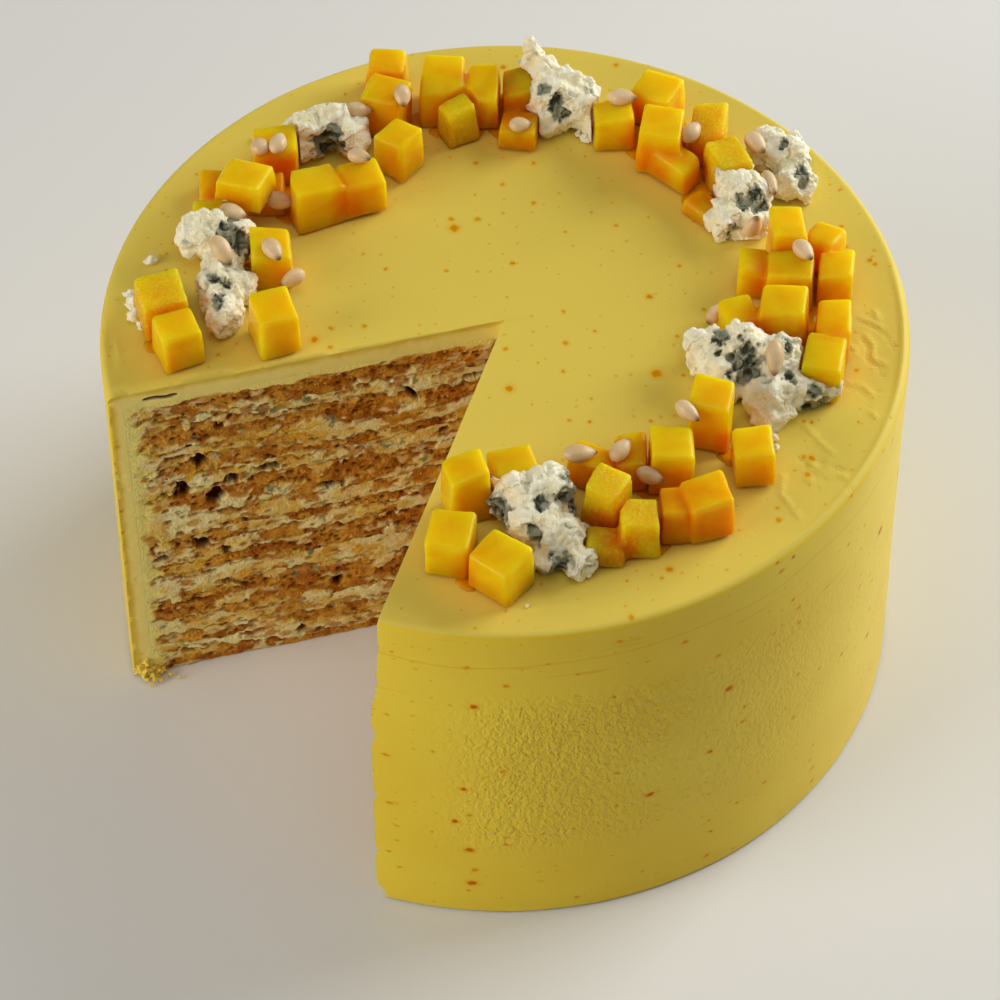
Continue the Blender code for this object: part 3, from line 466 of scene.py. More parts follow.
# How finely the icing is divided: round the front, the side and the back in degrees, up the side,
# over the rim and across the top, inside, and over its two cut ends.
FRONT_STEP = 0.33
FRONT_END = -48.0
SIDE_STEP = 0.5
SIDE_END = 12.0
COARSE_STEP = 2.2
PEBBLED_FROM = 14.0
PEBBLED_TO = 92.0
PEBBLED_ROW = 0.65
PLAIN_ROW = 1.4
RIM_ROWS = 8
MARKED_RADIUS = 78.0
MARKED_ROW = 0.65
TOP_ROWS = 24
INNER_ROWS = 12
CAP_SPACING = 0.6

# How finely the layers are divided: over the cut faces and round behind the icing. The two faces of
# a layer meet this far from the middle.
FACE_STEP = 0.33
ARC_COLUMNS = 64
APEX_OUT = 0.2

# The crack in the icing's left cut end: from where to where it runs, its half width and depth, how
# high it lies, sways and rises, and the rows of points along it, in half widths off its middle. Both
# cut ends have small pits PIT_DEPTH deep.
CRACK_FROM = 81.0
CRACK_TO = 90.5
CRACK_WIDTH = 0.36
CRACK_DEPTH = 1.1
CRACK_HEIGHT = 104.4
CRACK_SWAY = 0.16
CRACK_RISE = 0.06
CRACK_STEP = 0.25
CRACK_ROWS = (-2.2, -1.4, -0.7, 0, 0.7, 1.4, 2.2)
PIT_DEPTH = 0.35

# The stage: the floor lies just under the cake; the aim and the camera's place are in metres.
FLOOR_HALF = 2500.0
FLOOR_LEVEL = -0.3
LIGHT_AIM = (0.0, 0.0, 0.06)
ROOM_COLOUR = "F9FDFF"
CAMERA_PLACE = (0.0, -0.6396, 0.7928)
CAMERA_YAW = 0.12
CAMERA_ROLL = -0.22


# Colours.

def linear(hex_colour):
    """An sRGB hex colour as four linear channels."""
    channels = [int(hex_colour[i:i + 2], 16) / 255 for i in (0, 2, 4)]
    bright = [c / 12.92 if c <= 0.04045 else ((c + 0.055) / 1.055) ** 2.4 for c in channels]
    return (*bright, 1.0)


# Repeatable noise for whole arrays of points.

def together(*parts):
    """The numbers of each place side by side, such as its x, y and z."""
    return np.stack(np.broadcast_arrays(*parts), axis=-1)


def lattice(cell, seed):
    """A number from 0 to 1 that is fixed for each whole-number cell."""
    whole = cell.astype(np.int64)
    mixed = whole[..., 0] * 73856093 ^ whole[..., 1] * 19349663 ^ whole[..., 2] * 83492791
    mixed = (mixed ^ seed * 2654435761) & 0xFFFFFFFF
    mixed = ((mixed ^ mixed >> 13) * 1274126177) & 0xFFFFFFFF
    return ((mixed ^ mixed >> 16) & 0xFFFF) / 0xFFFF


def three_numbers(cell, seed):
    """Three numbers from 0 to 1 that are fixed for each whole-number cell."""
    return together(*(lattice(cell, seed + axis) for axis in range(3)))


def soft_noise(points, seed):
    """Smooth values from -1 to 1, one wave to each unit."""
    low = np.floor(points)
    part = points - low
    part = part ** 3 * (part * (part * 6 - 15) + 10)
    total = np.zeros(points.shape[:-1])
    for corner in itertools.product((0, 1), repeat=3):
        weight = np.where(np.array(corner, bool), part, 1 - part).prod(axis=-1)
        total += weight * lattice(low + corner, seed)
    return 2 * total - 1


def rough_noise(points, seed, octaves=4):
    """Smooth noise with finer and finer noise on top of it."""
    total = np.zeros(points.shape[:-1])
    for octave in range(octaves):
        total += soft_noise(points * 2.03 ** octave, seed + octave) * 0.5 ** octave
    return total


def grains(points, seed, flat=False):
    """Distance to the nearest of some scattered grains, to the next one, and a number of its own."""
    low = np.floor(points)
    nearest = np.full(points.shape[:-1], 9.0)
    second = nearest.copy()
    own = np.zeros(points.shape[:-1])
    steps = (-1, 0, 1)
    for step in itertools.product(steps, steps, (0,) if flat else steps):
        cell = low + step
        centre = cell + three_numbers(cell, seed)
        if flat:
            centre[..., 2] = points[..., 2]
        distance = np.linalg.norm(points - centre, axis=-1)
        closer = distance < nearest
        second = np.where(closer, nearest, np.minimum(second, distance))
        own = np.where(closer, lattice(cell, seed + 3), own)
        nearest = np.where(closer, distance, nearest)
    return nearest, second, own


def ramp(value, low, high):
    """0 below low, 1 above high and a smooth rise between; falls if high is the lower."""
    share = np.clip((value - low) / (high - low), 0.0, 1.0)
    return share * share * (3 - 2 * share)


# Meshes.

def placed(name, data):
    """An object in the scene that holds a mesh, a light or a camera."""
    obj = bpy.data.objects.new(name, data)
    bpy.context.scene.collection.objects.link(obj)
    return obj


def put_mesh(name, points, faces, material, attributes=None):
    """An object from points in millimetres and lists of faces, with numbers at its points."""
    mesh = bpy.data.meshes.new(name)
    groups = [np.asarray(group, dtype=np.int64) for group in faces if len(group)]
    corners = np.concatenate([group.ravel() for group in groups])
    sizes = np.concatenate([np.full(len(group), group.shape[1]) for group in groups])
    mesh.vertices.add(len(points))
    mesh.vertices.foreach_set("co", (np.asarray(points, dtype=float) * MM).ravel())
    mesh.loops.add(len(corners))
    mesh.loops.foreach_set("vertex_index", corners)
    mesh.polygons.add(len(sizes))
    mesh.polygons.foreach_set("loop_start", np.concatenate(([0], np.cumsum(sizes)[:-1])))
    mesh.update(calc_edges=True)
    for key, values in (attributes or {}).items():
        layer = mesh.attributes.new(key, "FLOAT", "POINT")
        layer.data.foreach_set("value", np.asarray(values, dtype=float))
    mesh.materials.append(material)
    mesh.shade_smooth()
    mesh.set_sharp_from_angle(angle=SHARP_ANGLE)
    return placed(name, mesh)


def face_outwards(obj):
    bm = bmesh.new()
    bm.from_mesh(obj.data)
    bmesh.ops.recalc_face_normals(bm, faces=bm.faces[:])
    bm.to_mesh(obj.data)
    bm.free()


def finished(obj, slot, *nodes):
    """Hand the piece over: it rides on the cake and stands for its solids."""
    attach(obj, "root")
    if nodes:
        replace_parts(obj, *nodes)
    return obj


def evaluated_copy(obj, name):
    """The object as its modifiers make it, as a plain object of its own."""
    depsgraph = bpy.context.evaluated_depsgraph_get()
    mesh = bpy.data.meshes.new_from_object(obj.evaluated_get(depsgraph), depsgraph=depsgraph)
    mesh.name = name
    copy = placed(name, mesh)
    bpy.data.objects.remove(obj)
    return copy


def mesh_points(obj):
    """The object's points in millimetres."""
    points = np.empty(len(obj.data.vertices) * 3)
    obj.data.vertices.foreach_get("co", points)
    return points.reshape(-1, 3) / MM


def set_points(obj, points):
    obj.data.vertices.foreach_set("co", (points * MM).ravel())
    obj.data.update()


def mesh_normals(obj):
    normals = np.empty(len(obj.data.vertices) * 3)
    obj.data.vertices.foreach_get("normal", normals)
    return normals.reshape(-1, 3)


def add_numbers(obj, key, values):
    layer = obj.data.attributes.new(key, "FLOAT", "POINT")
    layer.data.foreach_set("value", np.asarray(values, dtype=float))


# Shader trees.

def connect(tree, socket, value):
    """Give an input its value, or a link from a socket or from a node's one live output."""
    if isinstance(value, bpy.types.Node):
        value = next(output for output in value.outputs if output.enabled)
    if isinstance(value, bpy.types.NodeSocket):
        tree.links.new(value, socket)
    else:
        socket.default_value = value


def add_node(tree, kind, inputs=None, **settings):
    """Add a node with its settings, and give its inputs their values and links. A shader node's kind
    is given without the ShaderNode that all of them begin with."""
    node = tree.nodes.new(kind if "Node" in kind else "ShaderNode" + kind)
    for key, value in settings.items():
        setattr(node, key, value)
    for key, value in (inputs or {}).items():
        connect(tree, node.inputs[key], value)
    return node


def start_material(name):
    """An empty material, the function that adds nodes to its tree, and its Principled BSDF."""
    material = bpy.data.materials.new(name)
    material.use_nodes = True
    tree = material.node_tree
    return material, functools.partial(add_node, tree), tree.nodes["Principled BSDF"]


def set_shader(shader, **values):
    """Set or link the shader's inputs, each by its name with _ for a space."""
    for key, value in values.items():
        connect(shader.id_data, shader.inputs[key.replace("_", " ")], value)


def carried(add, *names):
    """The numbers of these names that the mesh carries at its points."""
    return [add("Attribute", attribute_name=name).outputs["Fac"] for name in names]


def specks(add, place, kind):
    """Round specks on a flat pattern: one in some cells, each of its own size, soft at the edge."""
    cells = add("TexVoronoi", {"Vector": place, "Scale": 1 / (kind.spacing * MM)}, voronoi_dimensions="2D")
    own = add("SeparateColor", {0: cells.outputs["Color"]})
    most = kind.reach / kind.spacing
    reach = add("MapRange", {0: own.outputs[1], 3: 0.35 * most, 4: most})
    far = add("Math", {0: cells.outputs["Distance"], 1: reach}, operation="DIVIDE")
    speck = add("MapRange", {0: far, 1: 1.0, 2: 0.3, 4: kind.strength}, interpolation_type="SMOOTHSTEP")
    chosen = add("Math", {0: own.outputs[0], 1: kind.share}, operation="LESS_THAN")
    return add("Math", {0: speck, 1: chosen}, operation="MULTIPLY")


def all_specks(add, place, kinds):
    """The strongest of several kinds of speck at each place."""
    total = 0.0
    for kind in kinds:
        total = add("Math", {0: specks(add, place, kind), 1: total}, operation="MAXIMUM")
    return total


def scraper_lines(add, place, round_side, height):
    """Thin lines that the scraper drew round the side, most of them high up, and one long one."""
    drawn = add("Mapping", {"Vector": round_side, "Scale": (1.0, 11.0, 1.0)})
    streak = add("TexNoise", {"Vector": drawn, "Scale": 1 / (24 * MM)})
    thin = add("MapRange", {0: streak, 1: 0.6, 2: 0.74}, interpolation_type="SMOOTHSTEP")
    patch = add("TexNoise", {"Vector": place, "Scale": 1 / (30 * MM)})
    where = add("MapRange", {0: patch, 1: 0.46, 2: 0.62}, interpolation_type="SMOOTHSTEP")
    high_up = add("MapRange", {0: height, 1: 62 * MM, 2: 84 * MM, 3: 0.1, 4: 0.7})
    smear = add("Math", {0: thin, 1: where}, operation="MULTIPLY")
    smear = add("Math", {0: smear, 1: high_up}, operation="MULTIPLY")
    sway = add("TexNoise", {"Vector": place, "Scale": 1 / (26 * MM), "Detail": 0.0})
    level = add("Math", {0: sway, 1: 3.4 * MM, 2: height}, operation="MULTIPLY_ADD")
    away = add("Math", {0: level, 1: (LONG_LINE_HEIGHT + 1.7) * MM}, operation="SUBTRACT")
    away = add("Math", {0: away}, operation="ABSOLUTE")
    inputs = {0: away, 1: 0.5 * MM, 2: 0.05 * MM, 4: 0.45}
    long_line = add("MapRange", inputs, interpolation_type="SMOOTHSTEP")
    return add("Math", {0: smear, 1: long_line}, operation="MAXIMUM")


def icing_material():
    """Cheese-cream icing, set cold and smoothed with a scraper: satin, opaque and lemon yellow, with
    orange specks of fruit that the scraper drew out sideways and a pebbled skin on the side."""
    looks = bpy.context.scene.honey_cake_colours
    sizes = bpy.context.scene.honey_cake_sizes
    material, add, shader = start_material("scraped_cheese_cream_icing")
    place = add("TexCoord").outputs["Object"]
    height = add("SeparateXYZ", {0: place}).outputs["Z"]
    arc, cut, crack, pebbled, broken = carried(add, "arc", "cut", "crack", "pebbled", "broken")

    # A slow drift between two yellows, some 40 mm long; the top is painted paler, a painted sheen.
    cloud = add("TexNoise", {"Vector": place, "Scale": 1 / (38 * MM)})
    tone = add("MapRange", {0: cloud, 1: 0.35, 2: 0.65})
    base = add("Mix", {0: tone, 6: looks.icing, 7: looks.icing_deep}, data_type="RGBA")
    on_side = add("MapRange", {0: height, 1: (CAKE_HEIGHT - 0.4) * MM, 2: (CAKE_HEIGHT - 0.8) * MM})
    base = add("Mix", {0: on_side, 6: looks.icing_painted_sheen, 7: base}, data_type="RGBA")

    # Specks lie on x and y on the top, and on the way round and the height on the side.
    round_side = add("CombineXYZ", {0: arc, 1: height})
    drawn_out = add("Mapping", {"Vector": round_side, "Scale": (0.8, 1.15, 1.0)})
    flat_place = add("Mix", {0: on_side, 4: place, 5: drawn_out}, data_type="VECTOR")
    ragged = add("TexNoise", {"Vector": place, "Scale": 1 / (1.4 * MM)})
    inputs = {0: ragged.outputs["Color"], 1: (1.1 * MM, 1.1 * MM, 1.1 * MM), 2: flat_place}
    speck_place = add("VectorMath", inputs, operation="MULTIPLY_ADD")
    halo = all_specks(add, speck_place, STAINS)
    speck = all_specks(add, speck_place, SPECKS)

    lines = scraper_lines(add, place, round_side, height)
    smear = add("Math", {0: lines, 1: on_side}, operation="MULTIPLY")
    rim = add("MapRange", {0: speck, 1: 0.0, 2: 0.5})
    halo = add("Math", {0: halo, 1: rim}, operation="MAXIMUM")
    stain = add("Math", {0: smear, 1: halo}, operation="ADD", use_clamp=True)
    warm = add("Mix", {0: stain, 6: base, 7: looks.smear}, data_type="RGBA")
    faint = add("MapRange", {0: on_side, 3: 0.45, 4: 1.0})
    core = add("MapRange", {0: speck, 1: 0.4, 2: 1.0, 4: faint})
    dotted = add("Mix", {0: core, 6: warm, 7: looks.speck}, data_type="RGBA")
    pale = add("Mix", {0: cut, 6: dotted, 7: looks.cut_icing}, data_type="RGBA")
    # The crack is painted dark brown: painted shade.
    colour = add("Mix", {0: crack, 6: pale, 7: looks.pore}, data_type="RGBA")

    # Grains a little over 1 mm apart, longer upwards, that catch the light on the pebbled skin.
    long_grain = add("Mapping", {"Vector": place, "Scale": (1.0, 1.0, 0.7)})
    inputs = {"Vector": long_grain, "Scale": 1 / (1.15 * MM), "Detail": 1.5, "Distortion": 0.5}
    grain = add("TexNoise", inputs)
    strength = add("Math", {0: pebbled, 1: 0.02}, operation="ADD")
    strength = add("Math", {0: broken, 1: 0.15, 2: strength}, operation="MULTIPLY_ADD")
    raised = add("Math", {0: grain, 1: strength}, operation="MULTIPLY")
    bump = add("Bump", {"Height": raised, "Distance": 14 * sizes.pebble_depth})
    dark = add("Math", {0: speck, 1: crack}, operation="MAXIMUM")
    shine = add("MapRange", {0: dark, 3: 0.22, 4: 0.04})
    set_shader(shader, Base_Color=colour, Normal=bump, Roughness=0.5, IOR=1.46)
    set_shader(shader, Subsurface_Weight=0.2, Subsurface_Scale=MM)
    set_shader(shader, Subsurface_Radius=(2.0, 1.6, 0.8), Specular_IOR_Level=shine)
    set_shader(shader, Sheen_Weight=shine, Sheen_Roughness=0.3)
    return material


def crumb_material(name, roughness, subsurface):
    """Baked honey sponge and whipped cheese cream: moist open crumb, golden to red-brown, with painted shade,
    a dark brown, in its pores, seams and hollows, against soft ivory cream flecked with grey-green mould, and
    amber fruit in both."""
    looks = bpy.context.scene.honey_cake_colours
    material, add, shader = start_material(name)
    place = add("TexCoord").outputs["Object"]
    share = dict(zip(FACE_NUMBERS, carried(add, *FACE_NUMBERS)))

    # Sponge: grains of 1.5 mm, lighter where dry, with redder baked patches some 6 mm wide.
    crumb = add("TexNoise", {"Vector": place, "Scale": 1 / (1.5 * MM), "Detail": 6.0, "Roughness": 0.65})
    crumb = add("MapRange", {0: crumb, 1: 0.34, 2: 0.66})
    light = add("Math", {0: crumb, 1: 0.6, 2: -0.1}, operation="MULTIPLY_ADD")
    light = add("Math", {0: share["soaked"], 1: 0.6, 2: light}, operation="MULTIPLY_ADD")
    sponge = add("Mix", {0: light, 6: looks.sponge, 7: looks.sponge_light}, data_type="RGBA")
    toast = add("TexNoise", {"Vector": place, "Scale": 1 / (6 * MM), "Detail": 3.0})
    toast = add("MapRange", {0: toast, 1: 0.46, 2: 0.62, 4: 0.75})
    sponge = add("Mix", {0: toast, 6: sponge, 7: looks.sponge_baked}, data_type="RGBA")

    # Cream: ivory, yellower where syrup soaked into it.
    cloud = add("TexNoise", {"Vector": place, "Scale": 1 / (2.6 * MM), "Detail": 4.0})
    cloud = add("MapRange", {0: cloud, 1: 0.3, 2: 0.7})
    ochre = add("Math", {0: cloud, 1: 0.6, 2: -0.15}, operation="MULTIPLY_ADD")
    ochre = add("Math", {0: share["soaked"], 1: 0.75, 2: ochre}, operation="MULTIPLY_ADD")
    cream = add("Mix", {0: ochre, 6: looks.cream, 7: looks.cream_yellow}, data_type="RGBA")
    amber = add("TexNoise", {"Vector": place, "Scale": 1 / (5 * MM)})
    amber = add("MapRange", {0: amber, 1: 0.4, 2: 0.6})
    fruit = add("Mix", {0: amber, 6: looks.fruit, 7: looks.fruit_amber}, data_type="RGBA")

    # The pores, seams, voids and hollows are painted dark brown: painted shade.
    colour = sponge
    for key, value in (
        ("cream", cream),
        ("flake", looks.flake),
        ("fruit", fruit),
        ("mould", looks.mould),
        ("icing", looks.cut_icing),
        ("pore", looks.pore),
    ):
        colour = add("Mix", {0: share[key], 6: colour, 7: value}, data_type="RGBA")
    wet = add("MapRange", {0: share["fruit"], 3: roughness, 4: 0.25})
    fine = add("TexNoise", {"Vector": place, "Scale": 1 / (0.8 * MM), "Detail": 4.0})
    bump = add("Bump", {"Height": fine, "Distance": 0.35 * MM})
    set_shader(shader, Base_Color=colour, Roughness=wet, Normal=bump, Specular_IOR_Level=0.1)
    set_shader(shader, Subsurface_Weight=subsurface, Subsurface_Scale=MM)
    set_shader(shader, Subsurface_Radius=(2.2, 1.1, 0.4))
    return material


def mango_material():
    """Ripe mango diced with a knife and glazed with its own juice: wet, clear flesh, bright yellow where
    light comes through an edge, and deep orange where dice stand close and low down, which is painted shade
    and glow of light through the flesh; some listed dice are painted deeper orange all over."""
    looks = bpy.context.scene.honey_cake_colours
    material, add, shader = start_material("glazed_mango_flesh")
    place = add("TexCoord").outputs["Object"]
    deep, fibrous = carried(add, "deep", "fibrous")
    cloud = add("TexNoise", {"Vector": place, "Scale": 1 / (8 * MM), "Distortion": 0.6})
    tone = add("MapRange", {0: cloud, 1: 0.35, 2: 0.65})
    flesh = add("Mix", {0: tone, 6: looks.mango, 7: looks.mango_bright}, data_type="RGBA")
    # Painted shade and glow: the deep number turns the flesh deep orange between close dice and low down.
    deep = add("Math", {0: tone, 1: -0.22, 2: deep}, operation="MULTIPLY_ADD", use_clamp=True)
    flesh = add("Mix", {0: deep, 6: flesh, 7: looks.mango_deep_and_shade}, data_type="RGBA")

    # The cut ends of the fibres: pale grains half a millimetre wide on the faces that show them.
    upright = add("Mapping", {"Vector": place, "Scale": (1.0, 1.0, 0.6)})
    grain = add("TexNoise", {"Vector": upright, "Scale": 1 / (0.9 * MM), "Detail": 3.0})
    pale = add("MapRange", {0: grain, 1: 0.5, 2: 0.72, 4: 0.4})
    pale = add("Math", {0: pale, 1: fibrous}, operation="MULTIPLY")
    flesh = add("Mix", {0: pale, 6: flesh, 7: looks.mango_pale}, data_type="RGBA")
    rough = add("Math", {0: fibrous, 1: 0.12}, operation="ADD")
    raised = add("Math", {0: grain, 1: rough}, operation="MULTIPLY")
    bump = add("Bump", {"Height": raised, "Distance": 0.6 * MM})
    set_shader(shader, Base_Color=flesh, Normal=bump, Roughness=0.26, IOR=1.36)
    set_shader(shader, Subsurface_Weight=1.0, Subsurface_Scale=MM)
    set_shader(shader, Subsurface_Radius=(16.0, 9.0, 1.0), Specular_IOR_Level=0.22)
    return material


def gap_glow_material():
    """A thin, shiny orange film in the gaps between close dice, a painted glow that stands in for light
    coming through the flesh.
    """
    looks = bpy.context.scene.honey_cake_colours
    material, _, shader = start_material("thin_mango_juice")
    set_shader(shader, Base_Color=looks.juice, Roughness=0.2, IOR=1.35)
    set_shader(shader, Subsurface_Weight=0.8, Subsurface_Scale=MM)
    set_shader(shader, Subsurface_Radius=(3.0, 1.8, 0.4), Specular_IOR_Level=0.3)
    return material


def cheese_material():
    """Crumbled blue cheese: moist white curd, matt where it broke, with soft grey-green veins and
    darker hollows of mould."""
    looks = bpy.context.scene.honey_cake_colours
    material, add, shader = start_material("crumbled_blue_cheese")
    place = add("TexCoord").outputs["Object"]
    vein, mould = carried(add, "vein", "mould")
    cloud = add("TexNoise", {"Vector": place, "Scale": 1 / (4 * MM), "Detail": 3.0})
    tone = add("MapRange", {0: cloud, 1: 0.35, 2: 0.65})
    curd = add("Mix", {0: tone, 6: looks.curd, 7: looks.curd_creamy}, data_type="RGBA")
    veined = add("Mix", {0: vein, 6: curd, 7: looks.vein}, data_type="RGBA")
    colour = add("Mix", {0: mould, 6: veined, 7: looks.dark_mould}, data_type="RGBA")
    fine = add("TexNoise", {"Vector": place, "Scale": 1 / (0.8 * MM), "Detail": 4.0})
    bump = add("Bump", {"Height": fine, "Distance": 0.2 * MM})
    set_shader(shader, Base_Color=colour, Normal=bump, Roughness=0.55)
    set_shader(shader, Subsurface_Weight=0.4, Subsurface_Scale=MM)
    set_shader(shader, Subsurface_Radius=(1.8, 1.6, 1.3), Specular_IOR_Level=0.3)
    return material


def kernel_material():
    """Raw pine kernels: smooth, oily, ivory pink, browner towards the pointed tip."""
    looks = bpy.context.scene.honey_cake_colours
    material, add, shader = start_material("raw_pine_kernel")
    place = add("TexCoord").outputs["Object"]
    (tip,) = carried(add, "tip")
    cloud = add("TexNoise", {"Vector": place, "Scale": 1 / (5 * MM)})
    tone = add("MapRange", {0: cloud, 1: 0.35, 2: 0.65})
    base = add("Mix", {0: tone, 6: looks.kernel, 7: looks.kernel_shade}, data_type="RGBA")
    colour = add("Mix", {0: tip, 6: base, 7: looks.kernel_tip}, data_type="RGBA")
    skin = add("TexNoise", {"Vector": place, "Scale": 1 / (1.2 * MM)})
    bump = add("Bump", {"Height": skin, "Distance": 0.06 * MM})
    set_shader(shader, Base_Color=colour, Normal=bump, Roughness=0.34)
    set_shader(shader, Subsurface_Weight=0.25, Subsurface_Scale=MM)
    set_shader(shader, Subsurface_Radius=(1.6, 1.4, 1.0), Specular_IOR_Level=0.35)
    return material


def floor_material():
    """Matt white paint, rolled on: even and dull."""
    material, _, shader = start_material("matt_white_paint")
    set_shader(shader, Base_Color=bpy.context.scene.honey_cake_colours.floor, Roughness=0.85)
    return material


# The icing.

def wall_radius(height):
    return FOOT_RADIUS + (TOP_RADIUS - FOOT_RADIUS) * height / CAKE_HEIGHT


def outer_profile():
    """Radius and height of the icing's outside, from the foot over the rim to the middle."""
    wall_top = CAKE_HEIGHT - RIM_ROUNDING
    heights = np.concatenate([
        np.arange(COAT_FOOT, PEBBLED_FROM, PLAIN_ROW),
        np.arange(PEBBLED_FROM, PEBBLED_TO, PEBBLED_ROW),
        np.arange(PEBBLED_TO, wall_top, PLAIN_ROW),
    ])
    wall = together(wall_radius(heights), heights)
    angle = np.linspace(0, math.pi / 2, RIM_ROWS + 1)
    rim_middle = wall_radius(wall_top) - RIM_ROUNDING
    rim = together(rim_middle + RIM_ROUNDING * np.cos(angle), wall_top + RIM_ROUNDING * np.sin(angle))
    marked = np.arange(rim_middle - MARKED_ROW, MARKED_RADIUS, -MARKED_ROW)
    radii = np.concatenate([marked, MARKED_RADIUS * (1 - np.arange(TOP_ROWS + 1) / TOP_ROWS)])
    return np.concatenate([wall, rim, together(radii, CAKE_HEIGHT)])


def inner_profile():
    """Radius and height of the icing's inside, from the middle out and down to the foot."""
    steps = np.arange(INNER_ROWS + 1)
    out = together(COAT_INSIDE * steps / INNER_ROWS, COAT_UNDERSIDE)
    heights = COAT_UNDERSIDE - (COAT_UNDERSIDE - COAT_FOOT) * steps[1:] / INNER_ROWS
    return np.concatenate([out, together(COAT_INSIDE, heights)])


def round_steps():
    """Angles of the icing's columns: close together in front, wider on the right and widest behind."""
    front = np.arange(RIGHT_CUT, FRONT_END, FRONT_STEP)
    side = np.arange(FRONT_END, SIDE_END, SIDE_STEP)
    back = np.linspace(SIDE_END, LEFT_CUT, int((LEFT_CUT - SIDE_END) / COARSE_STEP))
    return np.radians(np.concatenate([front, side, back]))


def mark_height(x, y):
    """How far the marks raise or dent the top, and how broken up its skin is near them."""
    total = np.zeros_like(x)
    broken = np.zeros_like(x)
    for mark in MARKS:
        nearest = np.full(x.shape, 99.0)
        for (ax, ay), (bx, by) in zip(mark.path, mark.path[1:]):
            length = (bx - ax) ** 2 + (by - ay) ** 2
            share = np.clip(((x - ax) * (bx - ax) + (y - ay) * (by - ay)) / length, 0, 1)
            away = np.hypot(x - ax - share * (bx - ax), y - ay - share * (by - ay))
            nearest = np.minimum(nearest, away)
        total += MARK_DEPTH * mark.height * np.exp(-(nearest / mark.width) ** 2)
        broken = np.maximum(broken, np.exp(-(nearest / MARK_REACH) ** 2))
    return total, broken


def icing_relief(points, around, on_top):
    """How far the icing stands out or in, how pebbled it is and how broken up its top is."""
    x, y, height = np.moveaxis(points, -1, 0)
    degrees = np.degrees(around)
    wide = together(around * FOOT_RADIUS / 42, height / 60, 0)
    swell = 0.13 * soft_noise(wide, 11) - 0.14
    band = ramp(height, *PEBBLES_SET_IN) * ramp(height, *PEBBLES_FADE_OUT)
    patchy = 0.6 + 0.4 * ramp(soft_noise(wide * 1.7, 23), -0.4, 0.4)
    behind = ramp(degrees, *BACK_BEGINS)
    weaker = 1 - 0.88 * ramp(degrees, *PEBBLES_WEAKEN)
    grazed = ramp(degrees, *PEBBLES_FROM_CUT) * weaker * (1 - behind) + 0.4 * behind
    pebbled = band * patchy * grazed * (1 - on_top)
    grain = soft_noise(together(around * FOOT_RADIUS / PEBBLE_WIDTH, height / PEBBLE_HEIGHT, 0), 31)
    depth = bpy.context.scene.honey_cake_sizes.pebble_depth / MM
    fine_net = 1 - ramp(degrees, 0, 10)
    pebbles = depth * pebbled * (grain - 0.6) * fine_net
    scraped = 0.05 * soft_noise(together(around * 9, height / 3.6, 0), 41)
    side = swell + pebbles + scraped * (1 - band)
    marks, broken = mark_height(x, y)
    top = 0.08 * rough_noise(together(x / 16, y / 16, 0), 53, 2) + marks
    return side * (1 - on_top) + top * on_top, pebbled, broken * on_top


def lip_lift(around, radius):
    """The thin ridge that the scraper left along the right rim."""
    degrees = np.degrees(around)
    along = ramp(degrees, *LIP_RISES) * ramp(degrees, *LIP_FALLS)
    uneven = 0.8 + 0.2 * soft_noise(together(degrees / 4, 0, 0), 61)
    height = bpy.context.scene.honey_cake_sizes.lip_height / MM
    from_rim = radius - TOP_RADIUS + RIM_ROUNDING
    return height * along * uneven * np.exp(-(from_rim / LIP_WIDTH) ** 2)


def ragged_edge(points, around):
    """How far the knife dragged the icing's front edge out (below nought) or crumbled it back."""
    from_cut = (np.degrees(around) - RIGHT_CUT) * FOOT_RADIUS * math.pi / 180
    height = points[..., 2]
    most = bpy.context.scene.honey_cake_sizes.knife_drag / MM
    drag = most * ramp(height, *DRAG_BELOW) * ramp(height, *DRAG_ABOVE)
    crags = 0.8 * ramp(rough_noise(together(height / 3.2, 0, 0), 71), 0.25, 0.9)
    return crags * np.exp(-(from_cut / CRAG_REACH) ** 2) - drag * np.exp(-(from_cut / DRAG_REACH) ** 2)


def cut_directions(angle, sign):
    """The way out along a cut and the way from it into the cake."""
    along = np.array([math.cos(angle), math.sin(angle), 0.0])
    return along, np.array([-along[1], along[0], 0.0]) * sign


def cut_place(out, up, cut):
    """Places on a cut face for its patterns, far from those on the other one."""
    return together(out, up, 60.0 * cut)


def knife_dent(out, up, cut):
    """How far the icing's cut face lies behind the knife's plane; the layers next to it follow it."""
    place = cut_place(out, up, cut)
    return 0.2 + 0.14 * soft_noise(place / 6.0, 80) + 0.05 * rough_noise(place / 1.6, 85)


def crack_height(out):
    """How high the crack in the left cut end runs at a place."""
    return CRACK_HEIGHT + CRACK_SWAY * np.sin(1.1 * out) + CRACK_RISE * (out - CRACK_FROM)


def cap_points(cut):
    """Scattered points over the icing's section, and at the left cut rows of them along its crack."""
    across = np.arange(1.0, TOP_RADIUS, CAP_SPACING)
    up = np.arange(1.0, CAKE_HEIGHT, CAP_SPACING)
    across, up = (grid.ravel() for grid in np.meshgrid(across, up))
    cell = together(across, up, cut) * 7
    spots = together(across, up) + 0.3 * CAP_SPACING * together(lattice(cell, 3), lattice(cell, 5))
    across, up = spots.T
    in_wall = (across > COAT_INSIDE + 0.4) & (across < wall_radius(up) - 0.9) & (up < CAKE_HEIGHT - 3)
    in_top = (up > COAT_UNDERSIDE + 0.4) & (across < TOP_RADIUS - 2.6) & (up < CAKE_HEIGHT - 0.6)
    kept = in_wall | in_top
    if cut == 1:
        return spots[kept]
    kept &= np.abs(up - crack_height(across)) > CRACK_WIDTH * 2.6
    along = np.arange(CRACK_FROM - 2, CRACK_TO + 2, CRACK_STEP)
    rows = [together(along, crack_height(along) + CRACK_WIDTH * row) for row in CRACK_ROWS]
    return np.concatenate([spots[kept], *rows])


